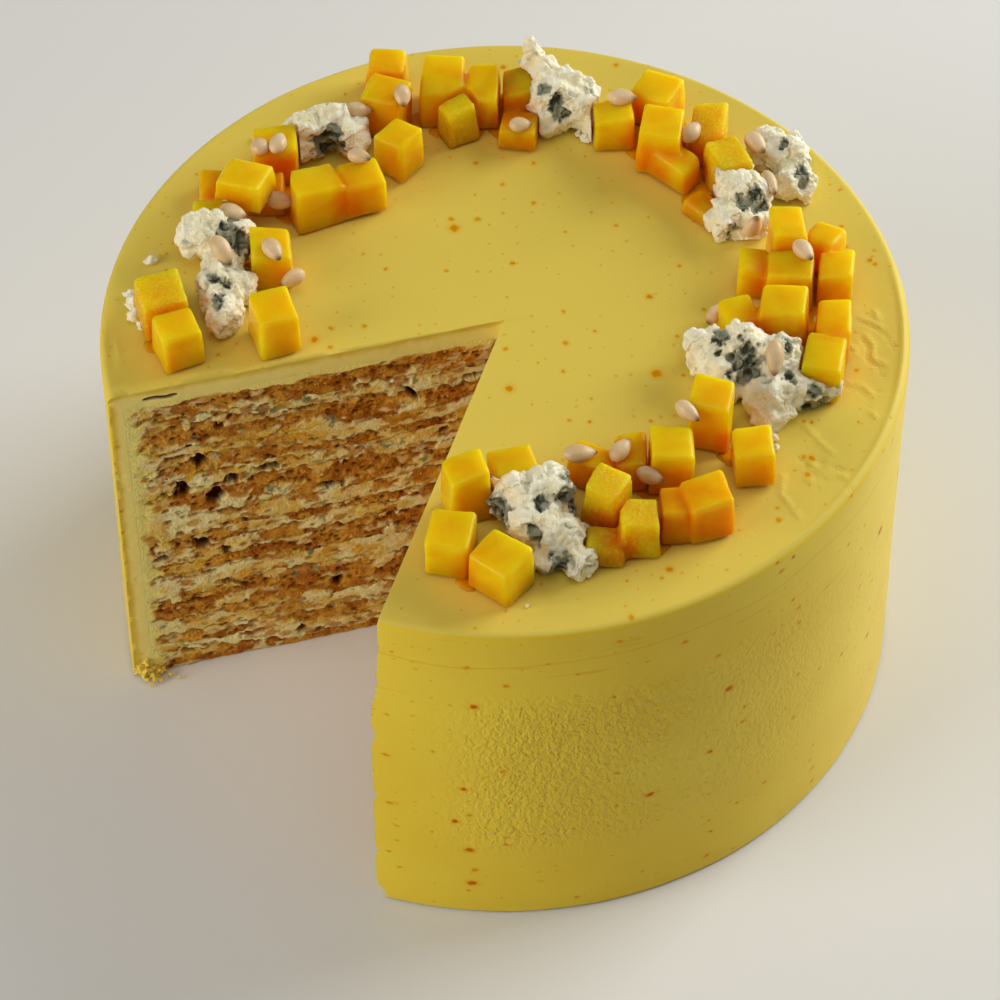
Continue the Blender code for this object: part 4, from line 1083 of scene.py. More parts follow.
def cut_cap(column, inner_column, direction, inward, cut):
    """Fill the icing's section at a knife cut with a fine uneven face."""
    outline = np.concatenate([column, inner_column])
    flat = together(outline @ direction, outline[:, 2])
    count = len(outline)
    edges = [(i, (i + 1) % count) for i in range(count)]
    places = [Vector(p) for p in np.concatenate([flat, cap_points(cut)])]
    made, _, triangles, origin, _, _ = delaunay_2d_cdt(places, edges, [], 1, 1e-6)
    kept = np.array([p[:] for i, p in enumerate(made) if not origin[i] or min(origin[i]) >= count])
    number = {}
    spare = 0
    for i, sources in enumerate(origin):
        if sources and min(sources) < count:
            number[i] = min(sources)
        else:
            number[i] = count + spare
            spare += 1
    faces = [[number[i] for i in triangle] for triangle in triangles]
    faces = [face for face in faces if len(set(face)) == 3]
    out, up = kept.T
    place = cut_place(out, up, cut)
    from_wall = wall_radius(up) - out
    from_layers = np.minimum(out - COAT_INSIDE, np.maximum(up - COAT_UNDERSIDE, 0) * 99 + 9)
    pits = ramp(grains(place / 6.5, 90, True)[0], 0.16, 0.05) * ramp(from_layers, 1.5, 2.5)
    crack = np.exp(-((up - crack_height(out)) / CRACK_WIDTH) ** 2) * (1 - cut)
    crack *= ramp(out, CRACK_FROM, CRACK_FROM + 2) * ramp(out, CRACK_TO, CRACK_TO - 2)
    dent = knife_dent(out, up, cut) + PIT_DEPTH * pits + CRACK_DEPTH * crack
    places = kept[:, :1] * direction + np.array([0, 0, 1]) * kept[:, 1:]
    places = places + inward * np.clip(dent, 0.02, 3)[:, None]
    skin = np.minimum(from_wall, CAKE_HEIGHT - up) + 0.5 * rough_noise(place / 3.0, 95)
    return places, faces, ramp(crack, 0.02, 0.25), ramp(skin, 0.5, 2.6), from_wall


def build_icing():
    """Sweep the icing's section round, press its texture in, and fill the two cut ends."""
    around = round_steps()
    outer = outer_profile()
    inner = inner_profile()
    columns, rows = len(around), len(outer) - 1
    turn, radius = np.meshgrid(around, outer[:-1, 0], indexing="ij")
    spots = together(radius * np.cos(turn), radius * np.sin(turn), outer[:-1, 1])
    on_top = np.broadcast_to(ramp(outer[:-1, 1], CAKE_HEIGHT - RIM_ROUNDING, CAKE_HEIGHT), turn.shape)
    outwards = together(np.cos(turn) * (1 - on_top), np.sin(turn) * (1 - on_top), on_top)
    relief, pebbled, broken = icing_relief(spots, turn, on_top)
    spots = spots + outwards * relief[..., None]
    spots[..., 2] += lip_lift(turn, radius)
    tangent = together(-np.sin(turn), np.cos(turn), 0)
    at_wall = 1 - ramp(on_top, 0.4, 1.0)
    spots += tangent * (ragged_edge(spots, turn) * at_wall)[..., None]
    inner_rows = len(inner) - 1
    inside_turn = np.repeat(around[:, None], inner_rows, axis=1)
    inside = together(np.cos(inside_turn) * inner[1:, 0], np.sin(inside_turn) * inner[1:, 0], inner[1:, 1])
    for column, sign in ((0, 1), (columns - 1, -1)):
        inside[column] += CAP_SINK * cut_directions(around[column], sign)[1]
    middle_top = np.array([[0, 0, CAKE_HEIGHT]])
    middle_under = np.array([[0, 0, COAT_UNDERSIDE]])
    points = [spots.reshape(-1, 3), middle_top, inside.reshape(-1, 3), middle_under]
    top_id = columns * rows
    inner_id = top_id + 1
    under_id = inner_id + columns * inner_rows
    outer_ids = np.arange(columns * rows).reshape(columns, rows)
    inner_ids = inner_id + np.arange(columns * inner_rows).reshape(columns, inner_rows)
    foot = together(inner_ids[:-1, -1], inner_ids[1:, -1], outer_ids[1:, 0], outer_ids[:-1, 0])
    quads = np.concatenate([strip(outer_ids), strip(inner_ids), foot])
    ends = [
        together(outer_ids[:-1, -1], outer_ids[1:, -1], top_id),
        together(inner_ids[1:, 0], inner_ids[:-1, 0], under_id),
    ]
    total = under_id + 1
    arc = FOOT_RADIUS * np.concatenate([turn.ravel(), [0.0], inside_turn.ravel(), [0.0]])
    numbers = {
        "pebbled": [pebbled.ravel(), np.zeros(total - top_id)],
        "broken": [broken.ravel(), np.zeros(total - top_id)],
        "cut": [np.zeros(inner_id), np.ones(total - inner_id)],
        "crack": [np.zeros(total)],
        "arc": [arc * MM],
    }
    for column, cut, sign in ((0, 1, 1), (columns - 1, 0, -1)):
        direction, inward = cut_directions(around[column], sign)
        first = np.append(spots[column], middle_top, axis=0)
        last = np.append(middle_under, inside[column], axis=0)
        places, faces, crack, paleness, from_wall = cut_cap(first, last, direction, inward, cut)
        loop = [*outer_ids[column], top_id, under_id, *inner_ids[column]]
        lookup = np.array(loop + list(range(total, total + len(places))))
        ends.append(lookup[np.array(faces)])
        points.append(places)
        total += len(places)
        plain = np.zeros(len(places))
        arc = (FOOT_RADIUS * around[column] - sign * from_wall) * MM
        own = {"pebbled": plain, "broken": plain, "cut": paleness, "crack": crack, "arc": arc}
        for key, values in own.items():
            numbers[key].append(values)
    joined = {key: np.concatenate(values) for key, values in numbers.items()}
    coat = put_mesh("icing", np.concatenate(points), [quads, np.concatenate(ends)], icing_material(), joined)
    face_outwards(coat)
    finished(coat, "yellow_icing", "icing_coat")


def strip(ids):
    """Quads between neighbouring columns of point numbers."""
    return together(ids[:-1, :-1], ids[1:, :-1], ids[1:, 1:], ids[:-1, 1:]).reshape(-1, 4)


# The layers of sponge and cream.

def line_height(line, out, cut):
    """Height of a line between two layers at a distance from the middle, on the left (0) or right (1) cut."""
    if line == 0:
        return np.full(out.shape, FLOOR_CLEARANCE)
    if line == len(LAYER_LINES) + 1:
        return np.full(out.shape, COAT_UNDERSIDE + FACE_OVERLAP)
    heights = LAYER_LINES[line - 1]
    place = together(out / LINE_WAVE_LENGTH, 4.3 * line, 9.0 * cut)
    wave = soft_noise(place, 101)
    short = LINE_RAGGEDNESS * rough_noise(place * 6.5, 131, 4)
    if cut == 0:
        return np.interp(out, LINE_STATIONS, heights) + LINE_WAVE * wave + short
    share = np.clip(out / MIDDLE_BLEND, 0, 1)
    middle = heights[0] + LINE_WAVE * wave + short
    right = sum(heights) / len(heights) + LINE_WAVE_RIGHT * wave + short
    return middle * (1 - share) + right * share


def layer_lines(out, cut):
    """All the lines on one cut, kept in order from the lowest up."""
    lines = [line_height(line, out, cut) for line in range(len(LAYER_LINES) + 2)]
    for i in range(1, len(lines) - 1):
        lines[i] = np.maximum(lines[i], lines[i - 1] + LAYER_THINNEST)
    for i in range(len(lines) - 2, 0, -1):
        lines[i] = np.minimum(lines[i], lines[i + 1] - LAYER_THINNEST)
    return lines


def spot_shares(out, up, cut):
    """How much of each kind of spot there is at points of a cut face."""
    wobble = 0.46 * rough_noise(together(out / 1.9, up / 1.9, 0), 151, 5)
    shares = {kind: np.zeros(out.shape) for kind in SPOT_ROWS}
    for spot in SPOTS if cut == 0 else mirrored_spots():
        turn = math.radians(spot.turn)
        x = (out - spot.out) * math.cos(turn) + (up - spot.up) * math.sin(turn)
        y = (up - spot.up) * math.cos(turn) - (out - spot.out) * math.sin(turn)
        distance = np.sqrt((x / spot.half_out) ** 2 + (y / spot.half_up) ** 2) + wobble
        shares[spot.kind] = np.maximum(shares[spot.kind], ramp(distance, 1.15, 0.8))
    return shares


def mirrored_spots():
    """Spots for the cut that faces left, the same kinds in other places."""
    span = LAYER_EDGE - 8
    return [spot._replace(out=4 + (spot.out * 1.618) % span, turn=-spot.turn) for spot in SPOTS]


def face_pattern(place, name):
    """One of the cut faces' patterns at some places."""
    kind = FACE_PATTERNS[name]
    return rough_noise(place / (kind.width, kind.height, kind.depth), kind.seed, kind.waves)


def face_scatter(place, name):
    """How much of one kind of hole or bit there is at some places of a cut face."""
    kind = FACE_SCATTERS[name]
    near, _, own = grains(place / (kind.width, kind.height, 1.0), kind.seed, True)
    return ramp(near, kind.rim, kind.whole) * (own > kind.least)


def icing_share(out, up, place):
    """How much of a cut face is icing that went in between the layers' ends."""
    ragged = 2.4 * face_pattern(place, "ragged")
    icing = ramp(out + ragged, LAYER_EDGE - 2.6, LAYER_EDGE - 1.0)
    icing = np.maximum(icing, ramp(up + 0.5 * ragged, COAT_UNDERSIDE - 1.0, COAT_UNDERSIDE - 0.2))
    icing = np.maximum(icing, ramp(out, LAYER_EDGE, LAYER_EDGE + 0.8))
    return np.maximum(icing, ramp(up, COAT_UNDERSIDE, COAT_UNDERSIDE + 0.8))


def face_relief(out, up, cut, is_cream, to_edge, below):
    """Depth of a layer's cut face behind the knife's plane, and what it is made of there."""
    place = cut_place(out, up, cut)
    shares = spot_shares(out, up, cut)
    smear = ramp(face_pattern(place, "smear"), 0.3, 0.55)
    dabs = ramp(face_pattern(place, "dab"), 0.3, 0.75)
    if is_cream:
        cream = (1 - smear * ramp(to_edge, 2.6, 0.6)) * (1 - 0.75 * dabs)
    else:
        cream = smear * ramp(to_edge, 2.8, 0.8) + 0.7 * dabs
    cream = np.clip(np.maximum(cream, shares["cream"]) * (1 - shares["crumb"]), 0, 1)
    icing = icing_share(out, up, place)
    cream = np.maximum(cream, icing)
    crumb = 1 - cream

    # Each stuff breaks in its own way; by a layer's edge both take the same depth, so they meet.
    shape = face_pattern(place, "crumb")
    swell = face_pattern(place, "swell")
    large_pore = face_scatter(place, "large_pore")
    small_pore = face_scatter(place, "small_pore")
    tear = face_scatter(place, "tear")
    bit = face_scatter(place, "bit") * (1 - icing)
    crumb_depth = CRUMB_DEPTH - 0.25 * swell - 0.26 * shape - 0.12 * face_pattern(place, "fine")
    crumb_depth = crumb_depth + PORE_DEPTH * large_pore + SMALL_PORE_DEPTH * small_pore
    cream_depth = CREAM_DEPTH + 0.25 * swell - 0.16 * face_pattern(place, "cream") + TEAR_DEPTH * tear
    own_depth = crumb_depth * crumb + cream_depth * cream
    shared_depth = EDGE_DEPTH - 0.25 * swell - 0.18 * shape
    inside = ramp(to_edge, 0.0, 0.7)
    depth = shared_depth * (1 - inside) + own_depth * inside

    # Gaps along a layer's edge and under the layer above it, then fruit, dabs of cream and holes.
    seam = ramp(to_edge, 0.55, 0.0) * ramp(face_pattern(place, "seam"), 0.25, 0.8)
    seam *= 1 - 0.9 * shares["cream"]
    shade = ramp(below, 1.8, 0.1) * ramp(face_pattern(place, "overhang"), -0.5, 0.4) * crumb
    depth += SEAM_DEPTH * seam + OVERHANG_DEPTH * shade
    fruit = np.maximum(np.maximum(shares["fruit"], shares["flake"]), bit)
    depth = depth * (1 - 0.7 * fruit) + (FRUIT_DEPTH + 0.1 * shape) * fruit - 0.3 * shares["cream"]
    depth += VOID_DEPTH * shares["void"]

    # Next to the coat the face lies as flat as the coat's own.
    by_wall = ramp(out, LAYER_EDGE - 3.0, LAYER_EDGE)
    by_coat = np.maximum(by_wall, ramp(up, COAT_UNDERSIDE - 1.6, COAT_UNDERSIDE))
    beyond = np.maximum(out - LAYER_EDGE, up - COAT_UNDERSIDE)
    flush = knife_dent(out, up, cut) - 0.05 + 0.12 * ramp(beyond, 0.4, FACE_OVERLAP)
    depth = depth * (1 - by_coat) + flush * by_coat
    fleck = ramp(face_pattern(place, "fleck"), 0.85, 1.05) * cream * 0.6
    mould = np.maximum(shares["mould"] * ramp(face_pattern(place, "mould"), -0.6, 0.4), fleck)
    # Painted shade: the pores, tears, voids, seams, hollows of the crumb and the crumb under the layer above
    # are painted dark.
    pore = (0.7 * large_pore + 0.3 * small_pore) * crumb * (1 - fruit) + 0.5 * tear * cream
    pore = np.maximum(pore, np.maximum(0.35 * seam, 0.5 * shade))
    pore = np.maximum(pore + 0.25 * ramp(shape, -0.2, -0.9) * crumb, shares["void"])
    numbers = {
        "cream": cream,
        "icing": icing,
        "soaked": ramp(face_pattern(place, "soaked"), -0.7, 0.8),
        "fruit": np.maximum(shares["fruit"], 0.8 * bit),
        "flake": shares["flake"],
        "mould": mould * (1 - shares["void"]) * (1 - icing),
        "pore": np.clip(pore * (1 - by_coat), 0, 1),
    }
    return np.clip(depth, 0.05, DEEPEST), numbers


def layer_steps():
    """How far out the columns of a layer's cut face stand, from its edge to the middle."""
    return np.arange(LAYER_EDGE + FACE_OVERLAP, FACE_STEP / 2, -FACE_STEP)


def build_layer(name, index, lines, material):
    """One layer: a fine uneven face at each knife cut and a plain wall behind the icing."""
    is_cream = index % 2 == 1
    steps = layer_steps()
    low = [lines[cut][index] + (LAYER_CLEARANCE if index else 0.0) for cut in (0, 1)]
    high = [lines[cut][index + 1] - LAYER_CLEARANCE for cut in (0, 1)]
    rows = max(6, int(np.mean(high[0] - low[0]) / FACE_STEP) + 1)
    share = np.linspace(0, 1, rows + 1)
    points, numbers = [], {key: [] for key in FACE_NUMBERS}
    for cut, degrees, sign in ((0, LEFT_CUT, -1), (1, RIGHT_CUT, 1)):
        order = slice(None) if cut == 0 else slice(None, None, -1)
        bottom = low[cut][order][:, None]
        top = high[cut][order][:, None]
        up = bottom + (top - bottom) * share
        out = np.repeat(steps[order][:, None], rows + 1, axis=1)
        to_edge = np.minimum(up - bottom, top - up)
        depth, kinds = face_relief(out, up, cut, is_cream, to_edge, top - up)
        depth *= ramp(out, -1.0, 1.2)
        along, inward = cut_directions(math.radians(degrees), sign)
        places = out[..., None] * along + depth[..., None] * inward
        places[..., 2] = up
        points.append(places)
        for key, values in kinds.items():
            numbers[key].append(values)
    middle = math.radians((LEFT_CUT + RIGHT_CUT) / 2)
    heights = (points[0][-1, :, 2] + points[1][0, :, 2]) / 2
    apex = together(APEX_OUT * math.cos(middle), APEX_OUT * math.sin(middle), heights)[None]
    angles = np.radians(np.linspace(RIGHT_CUT, LEFT_CUT, ARC_COLUMNS + 2)[1:-1])[:, None]
    blend = (np.arange(1, ARC_COLUMNS + 1) / (ARC_COLUMNS + 1))[:, None]
    wall_up = points[1][-1, :, 2] * (1 - blend) + points[0][0, :, 2] * blend
    wall = together(LAYER_EDGE * np.cos(angles), LAYER_EDGE * np.sin(angles), wall_up)
    ring = np.concatenate([points[0], apex, points[1], wall])
    count = len(ring)
    ids = np.arange(count * (rows + 1)).reshape(count, rows + 1)
    loop = np.append(ids, ids[:1], axis=0)

    # The top and the underside are fans round two points each, one behind either cut.
    hubs, fans = [], []
    apex_at = len(points[0])
    half_way = apex_at + 1 + len(points[1]) + ARC_COLUMNS // 2
    for row, base in ((0, count * (rows + 1)), (rows, count * (rows + 1) + 2)):
        height = float(np.mean(ring[:, row, 2]))
        if index == 0 and row == 0:
            height = FLOOR_CLEARANCE
        hubs += [(*hub_place(LEFT_CUT, -1), height), (*hub_place(RIGHT_CUT, 1), height)]
        for i in range(count):
            hub = base + 1 if apex_at <= i < half_way else base
            fans.append((loop[i, row], loop[i + 1, row], hub))
        fans.append((ids[half_way, row], ids[apex_at, row], base))
        fans.append((ids[half_way, row], ids[apex_at, row], base + 1))
    for key, (first, second) in numbers.items():
        plain = float(is_cream and key == "cream")
        at_apex, at_wall = np.full((1, rows + 1), plain), np.full((len(wall), rows + 1), plain)
        numbers[key] = np.append(np.concatenate([first, at_apex, second, at_wall]), [plain] * len(hubs))
    all_points = np.append(ring.reshape(-1, 3), np.array(hubs), axis=0)
    layer = put_mesh(name, all_points, [strip(loop), np.array(fans)], material, numbers)
    face_outwards(layer)
    return layer


def hub_place(degrees, sign):
    """A point inside the cake, straight in from the middle of one cut."""
    along, inward = cut_directions(math.radians(degrees), sign)
    return (0.5 * FOOT_RADIUS * along + 0.45 * FOOT_RADIUS * inward)[:2]


def build_layers():
    sponge = crumb_material("baked_honey_sponge", 0.75, 0.35)
    cream = crumb_material("whipped_cheese_cream", 0.5, 0.5)
    lines = [layer_lines(layer_steps(), cut) for cut in (0, 1)]
    for index in range(len(LAYER_LINES) + 1):
        number = index // 2 + 1
        if index % 2 == 0:
            layer = build_layer(f"sponge_layer_{number}", index, lines, sponge)
            finished(layer, "honey_sponge", f"sponge_{number}")
        else:
            layer = build_layer(f"cream_layer_{number}", index, lines, cream)
            finished(layer, "pale_cream", f"cream_{number}")


# Mango dice, cut and pressed apart just as the solids are.

def die_turn(die):
    lean = Matrix.Rotation(math.radians(die.lean), 3, "X")
    return Matrix.Rotation(math.radians(die.turn), 3, "Z") @ lean


def uneven_corner(seed):
    shifts = [noise.noise(seed + Vector((0, 0, 17.3 * axis))) for axis in range(3)]
    return Vector(shifts) * DIE_UNEVENNESS


def die_points(die):
    """Corner points of a hand-cut die with its edges taken off, standing on the icing."""
    half = np.array((die.width, die.depth, die.height)) / 2
    turn = die_turn(die)
    points = []
    for signs in itertools.product((-1, 1), repeat=3):
        corner = uneven_corner(Vector((die.x / 3 + signs[0], die.y / 3 + signs[1], die.height + signs[2])))
        for axis in range(3):
            local = (half - DIE_ROUNDING) * signs
            local[axis] = half[axis] * signs[axis]
            points.append(turn @ (Vector(local) + corner))
    points = np.array(points)
    points[:, 2] -= points[:, 2].min()
    return points + (die.x, die.y, CAKE_HEIGHT + GAP + die.lift)


def hull(points):
    """The convex hull of some points as a closed mesh, its flat faces whole."""
    bm = bmesh.new()
    for point in points:
        bm.verts.new(point)
    result = bmesh.ops.convex_hull(bm, input=bm.verts[:])
    inside = result["geom_interior"] + result["geom_unused"]
    spare = {element for element in inside if isinstance(element, bmesh.types.BMVert)}
    bmesh.ops.delete(bm, geom=list(spare), context="VERTS")
    flat = math.radians(FLAT_ANGLE)
    bmesh.ops.dissolve_limit(bm, angle_limit=flat, verts=bm.verts[:], edges=bm.edges[:])
    return bm


def cut_points(points, normal, offset):
    """Corner points of the part of a hull where normal . point is at most offset."""
    bm = hull(points)
    geometry = bm.verts[:] + bm.edges[:] + bm.faces[:]
    origin = Vector(normal) * offset
    bmesh.ops.bisect_plane(bm, geom=geometry, plane_co=origin, plane_no=normal, clear_outer=True)
    kept = np.array([v.co[:] for v in bm.verts])
    bm.free()
    return kept


def press_apart(first, second, directions):
    """Flatten two dice against each other, along the direction in which they overlap least."""
    best = None
    for direction in directions:
        if np.dot(second.mean(axis=0) - first.mean(axis=0), direction) < 0:
            direction = -direction
        reach = (first @ direction).max()
        start = (second @ direction).min()
        if best is None or reach - start < best[0]:
            best = (reach - start, direction, (reach + start) / 2)
    overlap, direction, middle = best
    if overlap <= -GAP:
        return first, second
    first = cut_points(first, direction, middle - GAP / 2)
    second = cut_points(second, -direction, -middle - GAP / 2)
    return first, second


def pressed_dice():
    """Every die's corner points, by node, with dice of different nodes pressed apart."""
    owners = [name for name, dice in DICE.items() for _ in dice]
    flat_dice = [die for dice in DICE.values() for die in dice]
    solids = [die_points(die) for die in flat_dice]
    directions = [[np.array(column[:]) for column in die_turn(die).col] for die in flat_dice]
    for i, j in itertools.combinations(range(len(solids)), 2):
        if owners[i] != owners[j]:
            solids[i], solids[j] = press_apart(solids[i], solids[j], directions[i] + directions[j])
    by_node = {name: [] for name in DICE}
    for name, points in zip(owners, solids):
        by_node[name].append(points)
    return by_node


def hull_planes(points):
    """Outward normals and offsets of a hull's faces."""
    bm = hull(points)
    bmesh.ops.recalc_face_normals(bm, faces=bm.faces[:])
    planes = [(*face.normal, face.normal.dot(face.verts[0].co)) for face in bm.faces]
    bm.free()
    return np.array(planes)


def solid_object(name, hulls, material):
    """One object that holds some hulls side by side."""
    points, faces = [], []
    for bm in hulls:
        start = len(points)
        bmesh.ops.recalc_face_normals(bm, faces=bm.faces[:])
        bm.verts.index_update()
        points += [v.co[:] for v in bm.verts]
        faces += [[start + v.index for v in face.verts] for face in bm.faces]
        bm.free()
    mesh = bpy.data.meshes.new(name)
    mesh.from_pydata((np.array(points) * MM).tolist(), [], faces)
    mesh.materials.append(material)
    return placed(name, mesh)


def soften(obj, name, voxel, rounds):
    """Remesh to an even fine net and wear its edges round."""
    remesh = obj.modifiers.new("Even net", "REMESH")
    remesh.mode = "VOXEL"
    remesh.voxel_size = voxel * MM
    smooth = obj.modifiers.new("Worn edges", "SMOOTH")
    smooth.factor = 0.5
    smooth.iterations = rounds
    return evaluated_copy(obj, name)


def drawn_in(points, seed):
    """A die's corner points drawn in towards its top and at some corners, and its top tilted."""
    own = lattice(np.array([[seed, 3, axis] for axis in range(3)]), 7)
    low, size = points.min(axis=0), np.ptp(points, axis=0)
    from_middle = points - low - size / 2
    rise = (points[:, 2] - low[2]) / size[2]
    pull = (DIE_TAPER + DIE_TAPER_SPREAD * own[0]) * rise
    pull = pull + DIE_CORNER_PULL * (soft_noise(points / 7, 307 + seed) + 1)
    moved = points - from_middle * (1, 1, 0) * pull[:, None]
    tilt = (from_middle / size)[:, :2] @ (own[1:] - 0.5) * 2 - 0.5
    moved[:, 2] += rise * np.minimum(tilt, 0) * DIE_TILT
    return moved


def distance_to(points, planes):
    """Distance from each point to a convex solid; below nought inside it."""
    return (points @ planes[:, :3].T - planes[:, 3]).max(axis=1)


def second_nearest(points, solids):
    """Distance from each point to the second nearest of some convex solids, its own being the nearest."""
    return np.sort([distance_to(points, planes) for planes in solids], axis=0)[1]


def build_mango():
    """Each node's dice as one wet, round-edged piece, painted deeper orange where dice stand close and low
    down: painted shade and glow.
    """
    material = mango_material()
    pressed = pressed_dice()
    every_die = [hull_planes(points) for solids in pressed.values() for points in solids]
    for number, (node, solids) in enumerate(pressed.items()):
        hulls = [hull(drawn_in(points, number * 5 + i)) for i, points in enumerate(solids)]
        block = solid_object("dice", hulls, material)
        piece = soften(block, node + "_flesh", DIE_VOXEL, 3)
        points, normals = mesh_points(piece), mesh_normals(piece)
        fibrous = 1.0 if node in FIBROUS_DICE else 0.0
        bulge = 0.24 * soft_noise(points / 6.0, 301) + 0.03 * soft_noise(points / 1.3, 311)
        bulge += 0.08 * fibrous * rough_noise(points / (1.3, 1.3, 2.4), 321, 2)
        points = points + normals * bulge[:, None]
        points[:, 2] = np.maximum(points[:, 2], CAKE_HEIGHT + TOPPING_GAP)
        set_points(piece, points)
        # Painted shade and glow of light through the flesh: deeper orange near other dice and low down, on
        # the listed DEEP_DICE, and a little at random for each node.
        rise = np.clip((points[:, 2] - CAKE_HEIGHT) / DIE_SIZE, 0, 1)
        close = ramp(second_nearest(points, every_die), CLOSE_GAP, 0.0)
        deep = close * (1.05 - 0.7 * rise) + 0.8 * (1 - rise) ** 1.6
        deep += 0.28 if node in DEEP_DICE else 0.0
        deep += 0.2 * (lattice(np.array([number, 3, 5]), 7) - 0.5)
        add_numbers(piece, "deep", np.clip(deep, 0, 1))
        add_numbers(piece, "fibrous", np.full(len(points), fibrous))
        piece.data.shade_smooth()
        finished(piece, "mango_flesh", node)


def gap_glow_amount(spots):
    """How much of the painted glow film lies at places on the icing: most of it between dice that stand
    close.
    """
    distances = []
    for solids in pressed_dice().values():
        distances.append(np.min([distance_to(spots, hull_planes(points)) for points in solids], axis=0))
    nearest, second = np.sort(distances, axis=0)[:2]
    return ramp(np.maximum(nearest, 0) + second, *GLOW_GAP) * (0.8 + 0.2 * soft_noise(spots / 4.0, 501))


def build_gap_glow():
    """Films of painted orange glow on the icing in the gaps between dice that stand close."""
    steps = np.arange(-TOP_RADIUS, TOP_RADIUS, GLOW_STEP)
    x, y = np.meshgrid(steps, steps, indexing="ij")
    amount = gap_glow_amount(together(x, y, CAKE_HEIGHT + 1.5).reshape(-1, 3)).reshape(x.shape)
    wet = amount > GLOW_LEAST
    cells = wet[:-1, :-1] & wet[1:, :-1] & wet[1:, 1:] & wet[:-1, 1:]
    top = strip(np.arange(x.size).reshape(x.shape))[cells.ravel()]
    edges = dict.fromkeys((a, b) for quad in top for a, b in zip(quad, np.roll(quad, -1)))
    open_edges = [(a, b) for a, b in edges if (b, a) not in edges]
    walls = np.array([(b, a, a + x.size, b + x.size) for a, b in open_edges])
    high = together(x, y, CAKE_HEIGHT + GLOW_DEPTH * (amount - GLOW_LEVEL)).reshape(-1, 3)
    low = together(x, y, CAKE_HEIGHT - GLOW_DEPTH).reshape(-1, 3)
    used, faces = np.unique(np.concatenate([top, top[:, ::-1] + x.size, walls]), return_inverse=True)
    points = np.concatenate([high, low])[used]
    film = put_mesh("mango_juice", points, [faces.reshape(-1, 4)], gap_glow_material())
    face_outwards(film)
    finished(film, "mango_flesh")


# Blue cheese.

def crag(point):
    """How far the broken curd stands out or falls in at a point."""
    return CRAG_HEIGHT * noise.fractal(point / CRAG_SIZE, 0.9, 2.2, 2)


def lump_object(lumps, material):
    bm = bmesh.new()
    for lump in lumps:
        place = Matrix.Translation((lump.x, lump.y, CAKE_HEIGHT + lump.z))
        size = Matrix.Diagonal((lump.half_x, lump.half_y, lump.half_z, 1.0))
        bmesh.ops.create_icosphere(bm, subdivisions=3, radius=1.0, matrix=place @ size)
    return solid_object("lumps", [bm], material)


def push_aside(points, planes, margin):
    """Move points that lie inside a convex solid out through the nearest of its sides."""
    heights = points @ planes[:, :3].T - planes[:, 3] - margin
    inside = heights.max(axis=1) < 0
    heights[:, np.abs(planes[:, 2]) > 0.5] = -99.0
    nearest = heights.argmax(axis=1)
    reach = heights.max(axis=1)
    points[inside] -= planes[nearest[inside], :3] * reach[inside, None]
    return points


def flakes(points, seed):
    """Height of a broken surface of flat tilted flakes, one to each cell."""
    low = np.floor(points)
    nearest = np.full(len(points), 9.0)
    height = np.zeros(len(points))
    for step in itertools.product((-1, 0, 1), repeat=3):
        cell = low + step
        centre = cell + three_numbers(cell, seed)
        away = points - centre
        distance = np.linalg.norm(away, axis=-1)
        tilt = three_numbers(cell, seed + 4) - 0.5
        own = (away * tilt * 1.6).sum(axis=-1) + 0.7 * (lattice(cell, seed + 3) - 0.5)
        closer = distance < nearest
        height = np.where(closer, own, height)
        nearest = np.where(closer, distance, nearest)
    return height


def cheese_numbers(points):
    """Where veins and mould tint the curd, and where mould darkens its hollows."""
    sway = together(*(soft_noise(points / 3, 401 + axis) for axis in range(3)))
    line = np.abs(soft_noise(points / 5.5 + 0.35 * sway, 411))
    where = ramp(soft_noise(points / 8, 421), 0.1, 0.4)
    vein = ramp(line, 0.14, 0.03) * where * 0.7
    ragged = rough_noise(points / 2.4, 431, 4)
    patch = np.zeros(len(points))
    for mould in MOULDS:
        away = points - (mould.x, mould.y, CAKE_HEIGHT + mould.z)
        distance = np.linalg.norm(away * (1.0, 0.8, 0.6), axis=-1) / mould.reach + 0.6 * ragged
        patch = np.maximum(patch, ramp(distance, 1.4, 0.95))
    dark = patch * ramp(rough_noise(points / 1.5, 437, 3), -0.2, 0.5)
    return np.maximum(vein, patch), dark


def curd_relief(points, curd):
    """How far curds, crumbs and broken flakes raise or sink the surface of the cheese."""
    near, second, _ = grains(points / CURD_SIZE, 441)
    crease = ramp(second - near, 0.2, 0.0)
    crumbly = ramp(soft_noise(points / 5.5, 455), -0.3, 0.5)
    small = grains(points / CRUMB_SIZE, 446)[0]
    move = curd * (0.35 - 0.75 * near - 0.1 * crease) + 0.95 * curd * crumbly * (0.45 - small)
    move += 0.65 * flakes(points / FLAKE_SIZE, 461) + 0.18 * rough_noise(points / 1.2, 451, 2)
    return move


